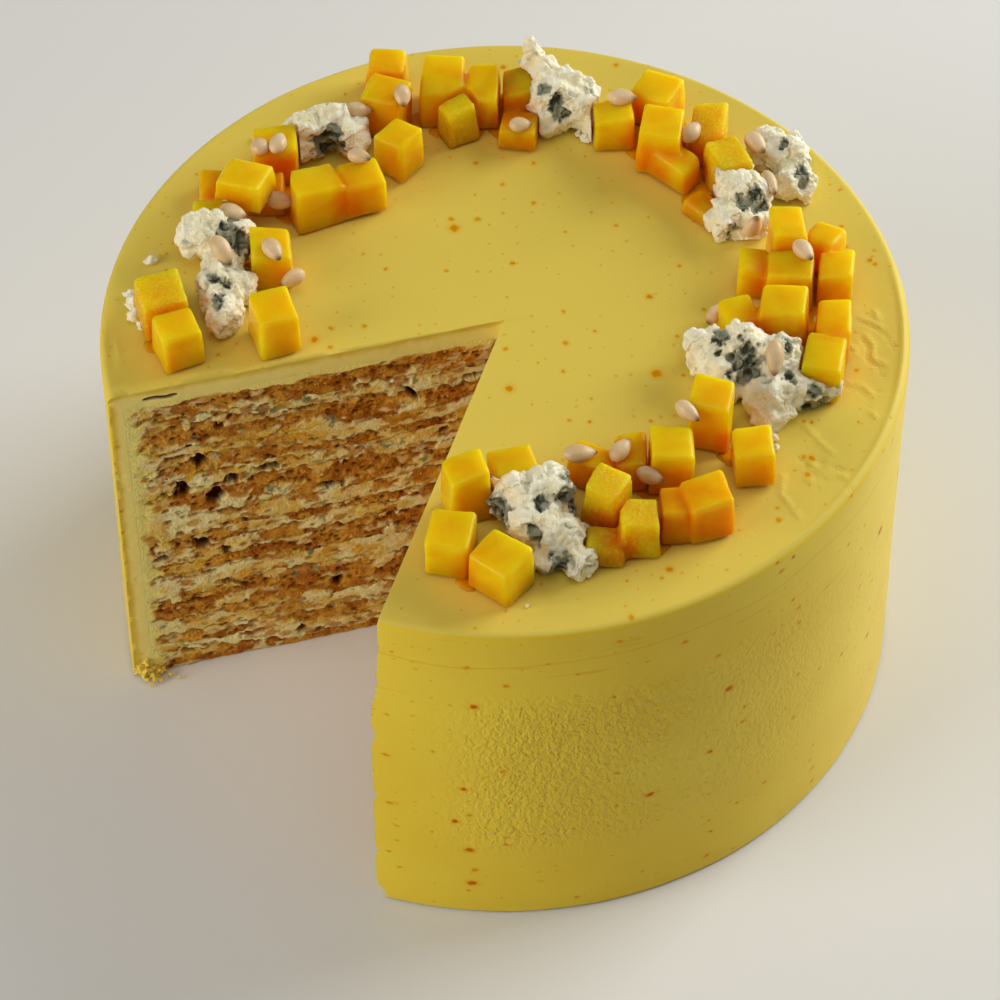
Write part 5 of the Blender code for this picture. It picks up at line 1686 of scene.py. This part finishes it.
def build_cheese():
    """Each heap of cheese: soft curds, crumbled where they broke, pressed against the dice."""
    material = cheese_material()
    curd = bpy.context.scene.honey_cake_sizes.curd_height / MM
    ceiling = CAD_BOX[1][2] / MM
    planes = [hull_planes(points) for solids in pressed_dice().values() for points in solids]
    for node, lumps in CHEESE.items():
        heap = soften(lump_object(lumps, material), "heap", CHEESE_VOXEL, 1)
        points, normals = mesh_points(heap), mesh_normals(heap)
        move = np.array([crag(Vector(point)) for point in points])
        set_points(heap, points + normals * move[:, None])
        heap = soften(heap, node + "_curd", CURD_VOXEL, 1)
        points, normals = mesh_points(heap), mesh_normals(heap)
        tint, dark = cheese_numbers(points)
        points = points + normals * (curd_relief(points, curd) - 0.5 * tint - 0.6 * dark)[:, None]
        for faces in planes:
            points = push_aside(points, faces, TOPPING_GAP)
        points[:, 2] = np.maximum(points[:, 2], CAKE_HEIGHT + TOPPING_GAP)
        points[:, 2] -= 0.2 * np.maximum(points[:, 2] - ceiling + 5, 0)
        set_points(heap, points)
        add_numbers(heap, "vein", np.clip(tint, 0, 1))
        add_numbers(heap, "mould", np.clip(dark, 0, 1))
        finished(heap, "blue_cheese_curd", node)


# Pine kernels and crumbs, strewn by Geometry Nodes.

def tree_sockets(tree, sockets):
    """Name a tree's inputs and its one output; returns its input and output nodes."""
    tree.interface.new_socket("Geometry", in_out="OUTPUT", socket_type="NodeSocketGeometry")
    for name, kind in sockets.items():
        tree.interface.new_socket(name, in_out="INPUT", socket_type=kind)
    return tree.nodes.new("NodeGroupInput"), tree.nodes.new("NodeGroupOutput")


def finish_tree(tree, instances, start, end):
    """End a tree: make the copies real and give them their material."""
    real = add_node(tree, "GeometryNodeRealizeInstances", {0: instances})
    inputs = {"Geometry": real.outputs[0], "Material": start.outputs["Material"]}
    painted = add_node(tree, "GeometryNodeSetMaterial", inputs)
    tree.links.new(painted.outputs[0], end.inputs[0])


def laid_copies_tree():
    """Copies of one shape laid at points, each with the turn and the size stored there."""
    tree = bpy.data.node_groups.new("Laid copies", "GeometryNodeTree")
    kinds = {"Points": "NodeSocketGeometry", "Shape": "NodeSocketObject", "Material": "NodeSocketMaterial"}
    start, end = tree_sockets(tree, kinds)
    shape = add_node(tree, "GeometryNodeObjectInfo", {"Object": start.outputs["Shape"]})
    turn = add_node(tree, "GeometryNodeInputNamedAttribute", {"Name": "turn"}, data_type="FLOAT_VECTOR")
    size = add_node(tree, "GeometryNodeInputNamedAttribute", {"Name": "size"}, data_type="FLOAT_VECTOR")
    inputs = {
        "Points": add_node(tree, "GeometryNodeMeshToPoints", {0: start.outputs["Points"]}).outputs[0],
        "Instance": shape.outputs["Geometry"],
        "Rotation": turn.outputs[0],
        "Scale": size.outputs[0],
    }
    laid = add_node(tree, "GeometryNodeInstanceOnPoints", inputs)
    finish_tree(tree, laid.outputs[0], start, end)
    return tree


def strewn_tree():
    """Copies of one small shape strewn over a surface, thicker where the surface says so."""
    tree = bpy.data.node_groups.new("Strewn crumbs", "GeometryNodeTree")
    kinds = {
        "Surface": "NodeSocketGeometry",
        "Shape": "NodeSocketObject",
        "Density": "NodeSocketFloat",
        "Smallest": "NodeSocketFloat",
        "Largest": "NodeSocketFloat",
        "Seed": "NodeSocketInt",
        "Material": "NodeSocketMaterial",
    }
    start, end = tree_sockets(tree, kinds)
    thick = add_node(tree, "GeometryNodeInputNamedAttribute", {"Name": "strew"}, data_type="FLOAT")
    inputs = {0: thick.outputs[0], 1: start.outputs["Density"]}
    density = add_node(tree, "Math", inputs, operation="MULTIPLY")
    seed = start.outputs["Seed"]
    inputs = {"Mesh": start.outputs["Surface"], "Density": density.outputs[0], "Seed": seed}
    points = add_node(tree, "GeometryNodeDistributePointsOnFaces", inputs, distribute_method="RANDOM")
    inputs = {1: (math.tau, math.tau, math.tau), "Seed": seed}
    turn = add_node(tree, "FunctionNodeRandomValue", inputs, data_type="FLOAT_VECTOR")
    inputs = {2: start.outputs["Smallest"], 3: start.outputs["Largest"], "Seed": seed}
    size = add_node(tree, "FunctionNodeRandomValue", inputs, data_type="FLOAT")
    shape = add_node(tree, "GeometryNodeObjectInfo", {"Object": start.outputs["Shape"]})
    inputs = {
        "Points": points.outputs[0],
        "Instance": shape.outputs["Geometry"],
        "Rotation": turn.outputs[0],
        "Scale": size.outputs[1],
    }
    strewn = add_node(tree, "GeometryNodeInstanceOnPoints", inputs)
    finish_tree(tree, strewn.outputs[0], start, end)
    return tree


def run_tree(obj, tree, values, name):
    """Run a tree on an object with its inputs set, and keep the result as a plain mesh."""
    modifier = obj.modifiers.new(tree.name, "NODES")
    modifier.node_group = tree
    for item in tree.interface.items_tree:
        if item.in_out == "INPUT" and item.name in values:
            modifier[item.identifier] = values[item.name]
    return evaluated_copy(obj, name)


def kernel_shape(material):
    """A plump teardrop of length 1 along X, with its pointed tip marked."""
    sides, rings = 20, 16
    share = np.arange(1, rings) / rings
    fullness = np.sin(np.pi * share ** 0.8) ** 0.7
    turn = np.arange(sides) * math.tau / sides
    half = 0.5 * fullness[:, None]
    rows = together(share[:, None] - 0.5, half * np.cos(turn), half * np.sin(turn))
    points = np.concatenate([rows.reshape(-1, 3), [(-0.5, 0, 0), (0.5, 0, 0)]])
    ids = np.arange((rings - 1) * sides).reshape(rings - 1, sides)
    loop = np.append(ids, ids[:, :1], axis=1)
    ends = []
    for row, tip in ((loop[0], len(points) - 2), (loop[-1], len(points) - 1)):
        ends += [(row[i], row[i + 1], tip) for i in range(sides)]
    tip = ramp(points[:, 0], 0.3, 0.5)
    shape = put_mesh("kernel_shape", points / MM, [strip(loop), np.array(ends)], material, {"tip": tip})
    face_outwards(shape)
    return shape


def crumb_shape(name, material, seed, detail=1):
    """A small rough crumb one unit across."""
    bm = bmesh.new()
    bmesh.ops.create_icosphere(bm, subdivisions=detail, radius=0.5)
    points = np.array([v.co[:] for v in bm.verts])
    rough = 1 + 0.45 * soft_noise(points * 3.1, seed) + 0.25 * rough_noise(points * 6.0, seed + 1, 3)
    for vertex, factor in zip(bm.verts, rough):
        vertex.co = Vector((vertex.co.x * factor, vertex.co.y * factor * 0.8, vertex.co.z * factor * 0.7))
    mesh = bpy.data.meshes.new(name)
    bm.to_mesh(mesh)
    bm.free()
    mesh.materials.append(material)
    mesh.shade_smooth()
    return placed(name, mesh)


def settle_kernel(kernel, tree):
    """Where a kernel rests on its host's nearest face, and how it lies there."""
    wanted = Vector((kernel.x, kernel.y, CAKE_HEIGHT + kernel.z))
    nearest, normal, _, _ = tree.find_nearest(wanted * MM)
    nearest = nearest / MM
    up = wanted - nearest
    if up.dot(normal) <= 0:
        up = normal
    up = up.normalized()
    sink = bpy.context.scene.honey_cake_sizes.kernel_sink / MM
    place = nearest + up * (KERNEL_THICKNESS / 2 - sink)
    turn = math.radians(kernel.turn)
    along = Vector((math.cos(turn), math.sin(turn), 0.0))
    along = (along - up * along.dot(up)).normalized()
    return place, along, up


def surface_tree(node):
    """A search tree over the piece that stands for a node."""
    host = next(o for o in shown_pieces() if node in o.get("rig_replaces", []))
    bm = bmesh.new()
    bm.from_mesh(host.data)
    tree = BVHTree.FromBMesh(bm)
    bm.free()
    return tree


def points_object(name, places, turns, sizes):
    """Loose points that carry a turn and a size for each copy."""
    mesh = bpy.data.meshes.new(name)
    mesh.from_pydata([tuple(Vector(place) * MM) for place in places], [], [])
    for key, values in (("turn", turns), ("size", sizes)):
        layer = mesh.attributes.new(key, "FLOAT_VECTOR", "POINT")
        layer.data.foreach_set("vector", np.array(values, dtype=float).ravel())
    return placed(name, mesh)


def build_kernels():
    """The pine kernels, each lying on its die or lump as the solid's does."""
    material = kernel_material()
    places, turns, sizes = [], [], []
    trees = {node: surface_tree(node) for node in {kernel.host for kernel in KERNELS}}
    for number, kernel in enumerate(KERNELS):
        place, along, up = settle_kernel(kernel, trees[kernel.host])
        side = up.cross(along)
        frame_axes = Matrix((along, side, up)).transposed()
        fat = 0.94 + 0.12 * lattice(np.array([number, 1, 1]), 9)
        places.append(place)
        turns.append(frame_axes.to_euler()[:])
        sizes.append((kernel.length * MM, KERNEL_WIDTH * fat * MM, KERNEL_THICKNESS * fat * MM))
    shape = kernel_shape(material)
    points = points_object("kernel_points", places, turns, sizes)
    values = {"Shape": shape, "Material": material}
    piece = run_tree(points, laid_copies_tree(), values, "pine_kernels")
    bpy.data.objects.remove(shape)
    finished(piece, "blue_cheese_curd")


def cut_surface(name, kind, wanted):
    """The fine cut faces of the layers of one kind, and how thickly crumbs lie there: where the face is of
    the wanted stuff (1 for cream, 0 for sponge) and not painted dark as shade."""
    points, faces, strew = [], [], []
    start = 0
    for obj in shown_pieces():
        if not obj.name.startswith(kind):
            continue
        own = mesh_points(obj)
        values = np.empty(len(own))
        obj.data.attributes["cream"].data.foreach_get("value", values)
        pore = np.empty(len(own))
        obj.data.attributes["pore"].data.foreach_get("value", pore)
        quads = np.array([f.vertices[:] for f in obj.data.polygons if len(f.vertices) == 4])
        radius = np.hypot(own[:, 0], own[:, 1])
        kept = quads[(radius[quads] < LAYER_EDGE - 0.3).all(axis=1)]
        points.append(own)
        faces.append(kept + start)
        alike = 1 - np.abs(values - wanted)
        strew.append(np.clip(alike * (1 - pore), 0, 1) * ramp(own[:, 2], 1.0, 1.6))
        start += len(own)
    numbers = {"strew": np.concatenate(strew)}
    return put_mesh(name, np.concatenate(points), [np.concatenate(faces)], bpy.data.materials[0], numbers)


def strew_crumbs():
    """Crumbs of sponge and curds of cream that the knife left on the cut faces."""
    tree = strewn_tree()
    sizes = bpy.context.scene.honey_cake_sizes
    for name, kind, material_name, slot, own, density, seed in STREWN_CRUMBS:
        material = bpy.data.materials[material_name]
        surface = cut_surface(name + "_surface", kind, own)
        shape = crumb_shape(name + "_shape", material, seed)
        add_numbers(shape, "cream", np.full(len(shape.data.vertices), own))
        add_numbers(shape, "soaked", np.full(len(shape.data.vertices), CRUMB_SOAKED))
        values = {
            "Shape": shape,
            "Density": density,
            "Smallest": sizes.smallest_crumb,
            "Largest": sizes.largest_crumb,
            "Seed": seed,
            "Material": material,
        }
        piece = run_tree(surface, tree, values, name)
        bpy.data.objects.remove(shape)
        finished(piece, slot)


def lay_crumbs(name, shape, places, turns, sizes, slot):
    """A copy of one crumb at each place, with its own turn and size, as one piece."""
    scales = [(size * MM, size * MM, size * MM) for size in sizes]
    points = points_object(name + "_points", places, turns, scales)
    values = {"Shape": shape, "Material": shape.data.materials[0]}
    piece = run_tree(points, laid_copies_tree(), values, name)
    bpy.data.objects.remove(shape)
    finished(piece, slot)


def build_crumbs():
    """The crumbs on the cut faces, a few of cheese on the icing and some of icing at a cut's foot."""
    strew_crumbs()
    shape = crumb_shape("cheese_crumb_shape", bpy.data.materials["crumbled_blue_cheese"], 8, 4)
    places = [(x, y, CAKE_HEIGHT + 0.3 * size) for x, y, size in CHEESE_CRUMBS]
    turns = [(0.0, 0.0, 1.7 * i) for i in range(len(places))]
    sizes = [size for _, _, size in CHEESE_CRUMBS]
    lay_crumbs("cheese_crumbs", shape, places, turns, sizes, "blue_cheese_curd")
    shape = crumb_shape("icing_crumb_shape", bpy.data.materials["scraped_cheese_cream_icing"], 12, 4)
    add_numbers(shape, "cut", np.full(len(shape.data.vertices), CRUMB_PALENESS))
    turn = math.radians(LEFT_CUT)
    places = []
    for out, before, high, size in ICING_CRUMBS:
        x = out * math.cos(turn) - before * math.sin(turn)
        y = out * math.sin(turn) + before * math.cos(turn)
        places.append((x, y, max(high, CRUMB_HALF * size)))
    turns = [(0.4 * i, 0.0, 2.3 * i) for i in range(len(places))]
    sizes = [size for *_, size in ICING_CRUMBS]
    lay_crumbs("icing_crumbs", shape, places, turns, sizes, "yellow_icing")


# The stage.

def area_light(name, place, size, power, hex_colour):
    """A soft square light that looks at the cake; its place and size are in metres."""
    light = bpy.data.lights.new(name, "AREA")
    light.shape = "SQUARE"
    light.size = size
    light.energy = power
    light.color = linear(hex_colour)[:3]
    lamp = placed(name, light)
    lamp.location = place
    aim = Vector(LIGHT_AIM) - Vector(place)
    lamp.rotation_euler = aim.to_track_quat("-Z", "Y").to_euler()
    return lamp


def build_stage():
    """A plain pale floor, three soft lights and the camera at the photograph's angle."""
    studio = bpy.context.scene.honey_cake_studio
    scene = bpy.context.scene
    sides = ((-1, -1), (1, -1), (1, 1), (-1, 1))
    corners = [(x * FLOOR_HALF, y * FLOOR_HALF, FLOOR_LEVEL) for x, y in sides]
    floor = put_mesh("floor", corners, [np.array([(0, 1, 2, 3)])], floor_material())
    key = area_light("key_light", (0.98, 0.56, 0.58), 0.8, studio.key_power, "FFFFFC")
    fill = area_light("fill_light", (-1.08, -0.52, 0.5), 0.8, studio.fill_power, "FFF9EF")
    top = area_light("top_light", (0.0, -0.2, 1.45), 0.9, studio.top_power, "FFFDF8")
    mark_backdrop(floor, key, fill, top)
    world = bpy.data.worlds.new("studio")
    world.use_nodes = True
    background = world.node_tree.nodes["Background"]
    background.inputs["Color"].default_value = linear(ROOM_COLOUR)
    background.inputs["Strength"].default_value = studio.room_strength
    scene.world = world
    scene.view_settings.view_transform = "Standard"
    camera_data = bpy.data.cameras.new("camera")
    camera_data.lens = studio.lens
    camera_data.sensor_width = 36.0
    camera = placed("camera", camera_data)
    camera.location = CAMERA_PLACE
    yaw = Matrix.Rotation(math.radians(CAMERA_YAW), 3, "Z")
    tilt = Matrix.Rotation(math.radians(90) - studio.pitch, 3, "X")
    roll = Matrix.Rotation(math.radians(CAMERA_ROLL), 3, "Z")
    camera.rotation_euler = (yaw @ tilt @ roll).to_euler()
    scene.camera = camera
    camera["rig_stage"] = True


# The add-on.

def colour_setting(name, description, hex_colour):
    """A colour that a user can change."""
    return bpy.props.FloatVectorProperty(
        name=name,
        description=description,
        subtype="COLOR",
        size=4,
        min=0.0,
        max=1.0,
        default=linear(hex_colour),
    )


def length_setting(name, description, length_mm):
    """A small length that a user can change, shown in the scene's units."""
    return bpy.props.FloatProperty(
        name=name,
        description=description,
        unit="LENGTH",
        precision=5,
        min=0.0,
        default=length_mm * MM,
    )


class HoneyCakeSizes(bpy.types.PropertyGroup):
    """Sizes of the finish on the cake."""

    pebble_depth: length_setting("Pebbles", "How deep the icing's side is pebbled", 0.08)
    lip_height: length_setting("Rim ridge", "How high the scraper's ridge stands on the right rim", 0.5)
    knife_drag: length_setting("Knife drag", "How far the knife drew out the icing's front edge", 2.5)
    curd_height: length_setting("Curds", "How far the curds of cheese stand out", 0.7)
    kernel_sink: length_setting("Kernel sink", "How deep the pine kernels press in", 0.9)
    smallest_crumb: length_setting("Smallest crumb", "Smallest crumb on the cut faces", 0.3)
    largest_crumb: length_setting("Largest crumb", "Largest crumb on the cut faces", 1.1)


class HoneyCakeColours(bpy.types.PropertyGroup):
    """Colours of the cake and its toppings."""

    icing: colour_setting("Icing", "Main colour of the icing", "EED03A")
    icing_deep: colour_setting("Icing, deeper", "Where the icing is a little deeper", "E9C62E")
    # The top's paler colour is a painted sheen.
    icing_painted_sheen: colour_setting("Icing, top", "Top of the icing, dried a little paler", "E9D058")
    cut_icing: colour_setting("Cut icing", "Icing that the knife cut through", "FFEB88")
    speck: colour_setting("Specks", "Orange specks in the icing", "D26600")
    smear: colour_setting("Smears", "Orange drawn out by the scraper", "E4A600")
    sponge: colour_setting("Sponge", "Main colour of the crumb", "B86C12")
    sponge_light: colour_setting("Sponge, light", "Drier and lighter crumb", "EEB044")
    sponge_baked: colour_setting("Sponge, baked", "Darker baked crumb", "9C500A")
    # Colour of the painted shade in the pores, seams and cracks.
    pore: colour_setting("Pores", "Deep in the pores and cracks", "460E00")
    cream: colour_setting("Cream", "Main colour of the cream", "FCF0B4")
    cream_yellow: colour_setting("Cream, yellow", "Cream that syrup soaked into", "E8BE52")
    flake: colour_setting("Flakes", "Bright flakes of fruit", "EAB43A")
    fruit: colour_setting("Fruit", "Poached fruit", "B66A12")
    fruit_amber: colour_setting("Fruit, amber", "Clear amber fruit", "DEA634")
    mould: colour_setting("Mould in cream", "Grey-green mould in the cream", "888E60")
    mango: colour_setting("Mango", "Main colour of the mango", "F2B808")
    mango_bright: colour_setting("Mango, bright", "Brightest flesh", "F6C610")
    # Colour of some dice's deeper tone and of the painted shade and glow between close dice.
    mango_deep_and_shade: colour_setting("Mango, deep", "Flesh between dice that stand close", "EE7C00")
    mango_pale: colour_setting("Mango, fibres", "Pale cut fibres", "F4CC50")
    # The film between close dice in this colour is a painted glow.
    juice: colour_setting("Mango juice", "Juice in the gaps between dice", "EE9A06")
    curd: colour_setting("Curd", "White curd", "FCF6DE")
    curd_creamy: colour_setting("Curd, creamy", "Creamier curd", "F6ECC6")
    vein: colour_setting("Veins", "Grey-green veins in the cheese", "9A9C84")
    dark_mould: colour_setting("Dark mould", "Hollows full of mould", "464938")
    kernel: colour_setting("Kernel", "Pine kernel", "EED3A8")
    kernel_shade: colour_setting("Kernel, shade", "Darker pine kernel", "DDBD8C")
    kernel_tip: colour_setting("Kernel tip", "Brown tip of a pine kernel", "7A4A22")
    floor: colour_setting("Floor", "Floor that the cake stands on", "E6E5E2")


class HoneyCakeStudio(bpy.types.PropertyGroup):
    """Lights and camera of the picture."""

    key_power: bpy.props.FloatProperty(
        name="Key light", description="Power of the light from the right", unit="POWER", default=14.5
    )
    fill_power: bpy.props.FloatProperty(
        name="Fill light", description="Power of the light from the left", unit="POWER", default=9.5
    )
    top_power: bpy.props.FloatProperty(
        name="Top light", description="Power of the light overhead", unit="POWER", default=3.5
    )
    room_strength: bpy.props.FloatProperty(
        name="Room light", description="Strength of the light from all round", default=0.12
    )
    lens: bpy.props.FloatProperty(
        name="Lens", description="Focal length of the camera in millimetres", default=138.46
    )
    pitch: bpy.props.FloatProperty(
        name="Pitch",
        description="How far the camera looks down",
        subtype="ANGLE",
        default=math.radians(49.635),
    )


class HONEY_CAKE_OT_icing(bpy.types.Operator):
    """Make the coat of icing."""

    bl_idname = "honey_cake.icing"
    bl_label = "Icing"

    def execute(self, context):
        build_icing()
        return {"FINISHED"}


class HONEY_CAKE_OT_layers(bpy.types.Operator):
    """Make the layers of sponge and cream."""

    bl_idname = "honey_cake.layers"
    bl_label = "Layers"

    def execute(self, context):
        build_layers()
        return {"FINISHED"}


class HONEY_CAKE_OT_mango(bpy.types.Operator):
    """Make the mango dice and the film of painted glow between them."""

    bl_idname = "honey_cake.mango"
    bl_label = "Mango"

    def execute(self, context):
        build_mango()
        build_gap_glow()
        return {"FINISHED"}


class HONEY_CAKE_OT_cheese(bpy.types.Operator):
    """Make the heaps of blue cheese."""

    bl_idname = "honey_cake.cheese"
    bl_label = "Cheese"

    def execute(self, context):
        build_cheese()
        return {"FINISHED"}


class HONEY_CAKE_OT_kernels(bpy.types.Operator):
    """Lay the pine kernels on the toppings."""

    bl_idname = "honey_cake.kernels"
    bl_label = "Pine kernels"

    def execute(self, context):
        build_kernels()
        return {"FINISHED"}


class HONEY_CAKE_OT_crumbs(bpy.types.Operator):
    """Strew the crumbs on the cut faces and the icing."""

    bl_idname = "honey_cake.crumbs"
    bl_label = "Crumbs"

    def execute(self, context):
        build_crumbs()
        return {"FINISHED"}


class HONEY_CAKE_OT_stage(bpy.types.Operator):
    """Make the floor, the lights and the camera."""

    bl_idname = "honey_cake.stage"
    bl_label = "Stage"

    def execute(self, context):
        build_stage()
        return {"FINISHED"}


OPERATORS = (
    HONEY_CAKE_OT_icing,
    HONEY_CAKE_OT_layers,
    HONEY_CAKE_OT_mango,
    HONEY_CAKE_OT_cheese,
    HONEY_CAKE_OT_kernels,
    HONEY_CAKE_OT_crumbs,
    HONEY_CAKE_OT_stage,
)


class HONEY_CAKE_PT_panel(bpy.types.Panel):
    """The cake's buttons and settings."""

    bl_label = "Honey cake"
    bl_idname = "HONEY_CAKE_PT_panel"
    bl_space_type = "VIEW_3D"
    bl_region_type = "UI"
    bl_category = "Cake"

    def draw(self, context):
        for operator in OPERATORS:
            self.layout.operator(operator.bl_idname)
        for key in ("honey_cake_sizes", "honey_cake_colours", "honey_cake_studio"):
            group = getattr(context.scene, key)
            for setting in type(group).__annotations__:
                self.layout.prop(group, setting)


CLASSES = (HoneyCakeSizes, HoneyCakeColours, HoneyCakeStudio, *OPERATORS, HONEY_CAKE_PT_panel)


def register():
    for item in CLASSES:
        bpy.utils.register_class(item)
    bpy.types.Scene.honey_cake_sizes = bpy.props.PointerProperty(type=HoneyCakeSizes)
    bpy.types.Scene.honey_cake_colours = bpy.props.PointerProperty(type=HoneyCakeColours)
    bpy.types.Scene.honey_cake_studio = bpy.props.PointerProperty(type=HoneyCakeStudio)


def unregister():
    del bpy.types.Scene.honey_cake_studio
    del bpy.types.Scene.honey_cake_colours
    del bpy.types.Scene.honey_cake_sizes
    for item in reversed(CLASSES):
        bpy.utils.unregister_class(item)


def main():
    register()
    bpy.ops.honey_cake.icing()
    bpy.ops.honey_cake.layers()
    bpy.ops.honey_cake.mango()
    bpy.ops.honey_cake.cheese()
    bpy.ops.honey_cake.kernels()
    bpy.ops.honey_cake.crumbs()
    bpy.ops.honey_cake.stage()


if __name__ == "__main__":
    main()
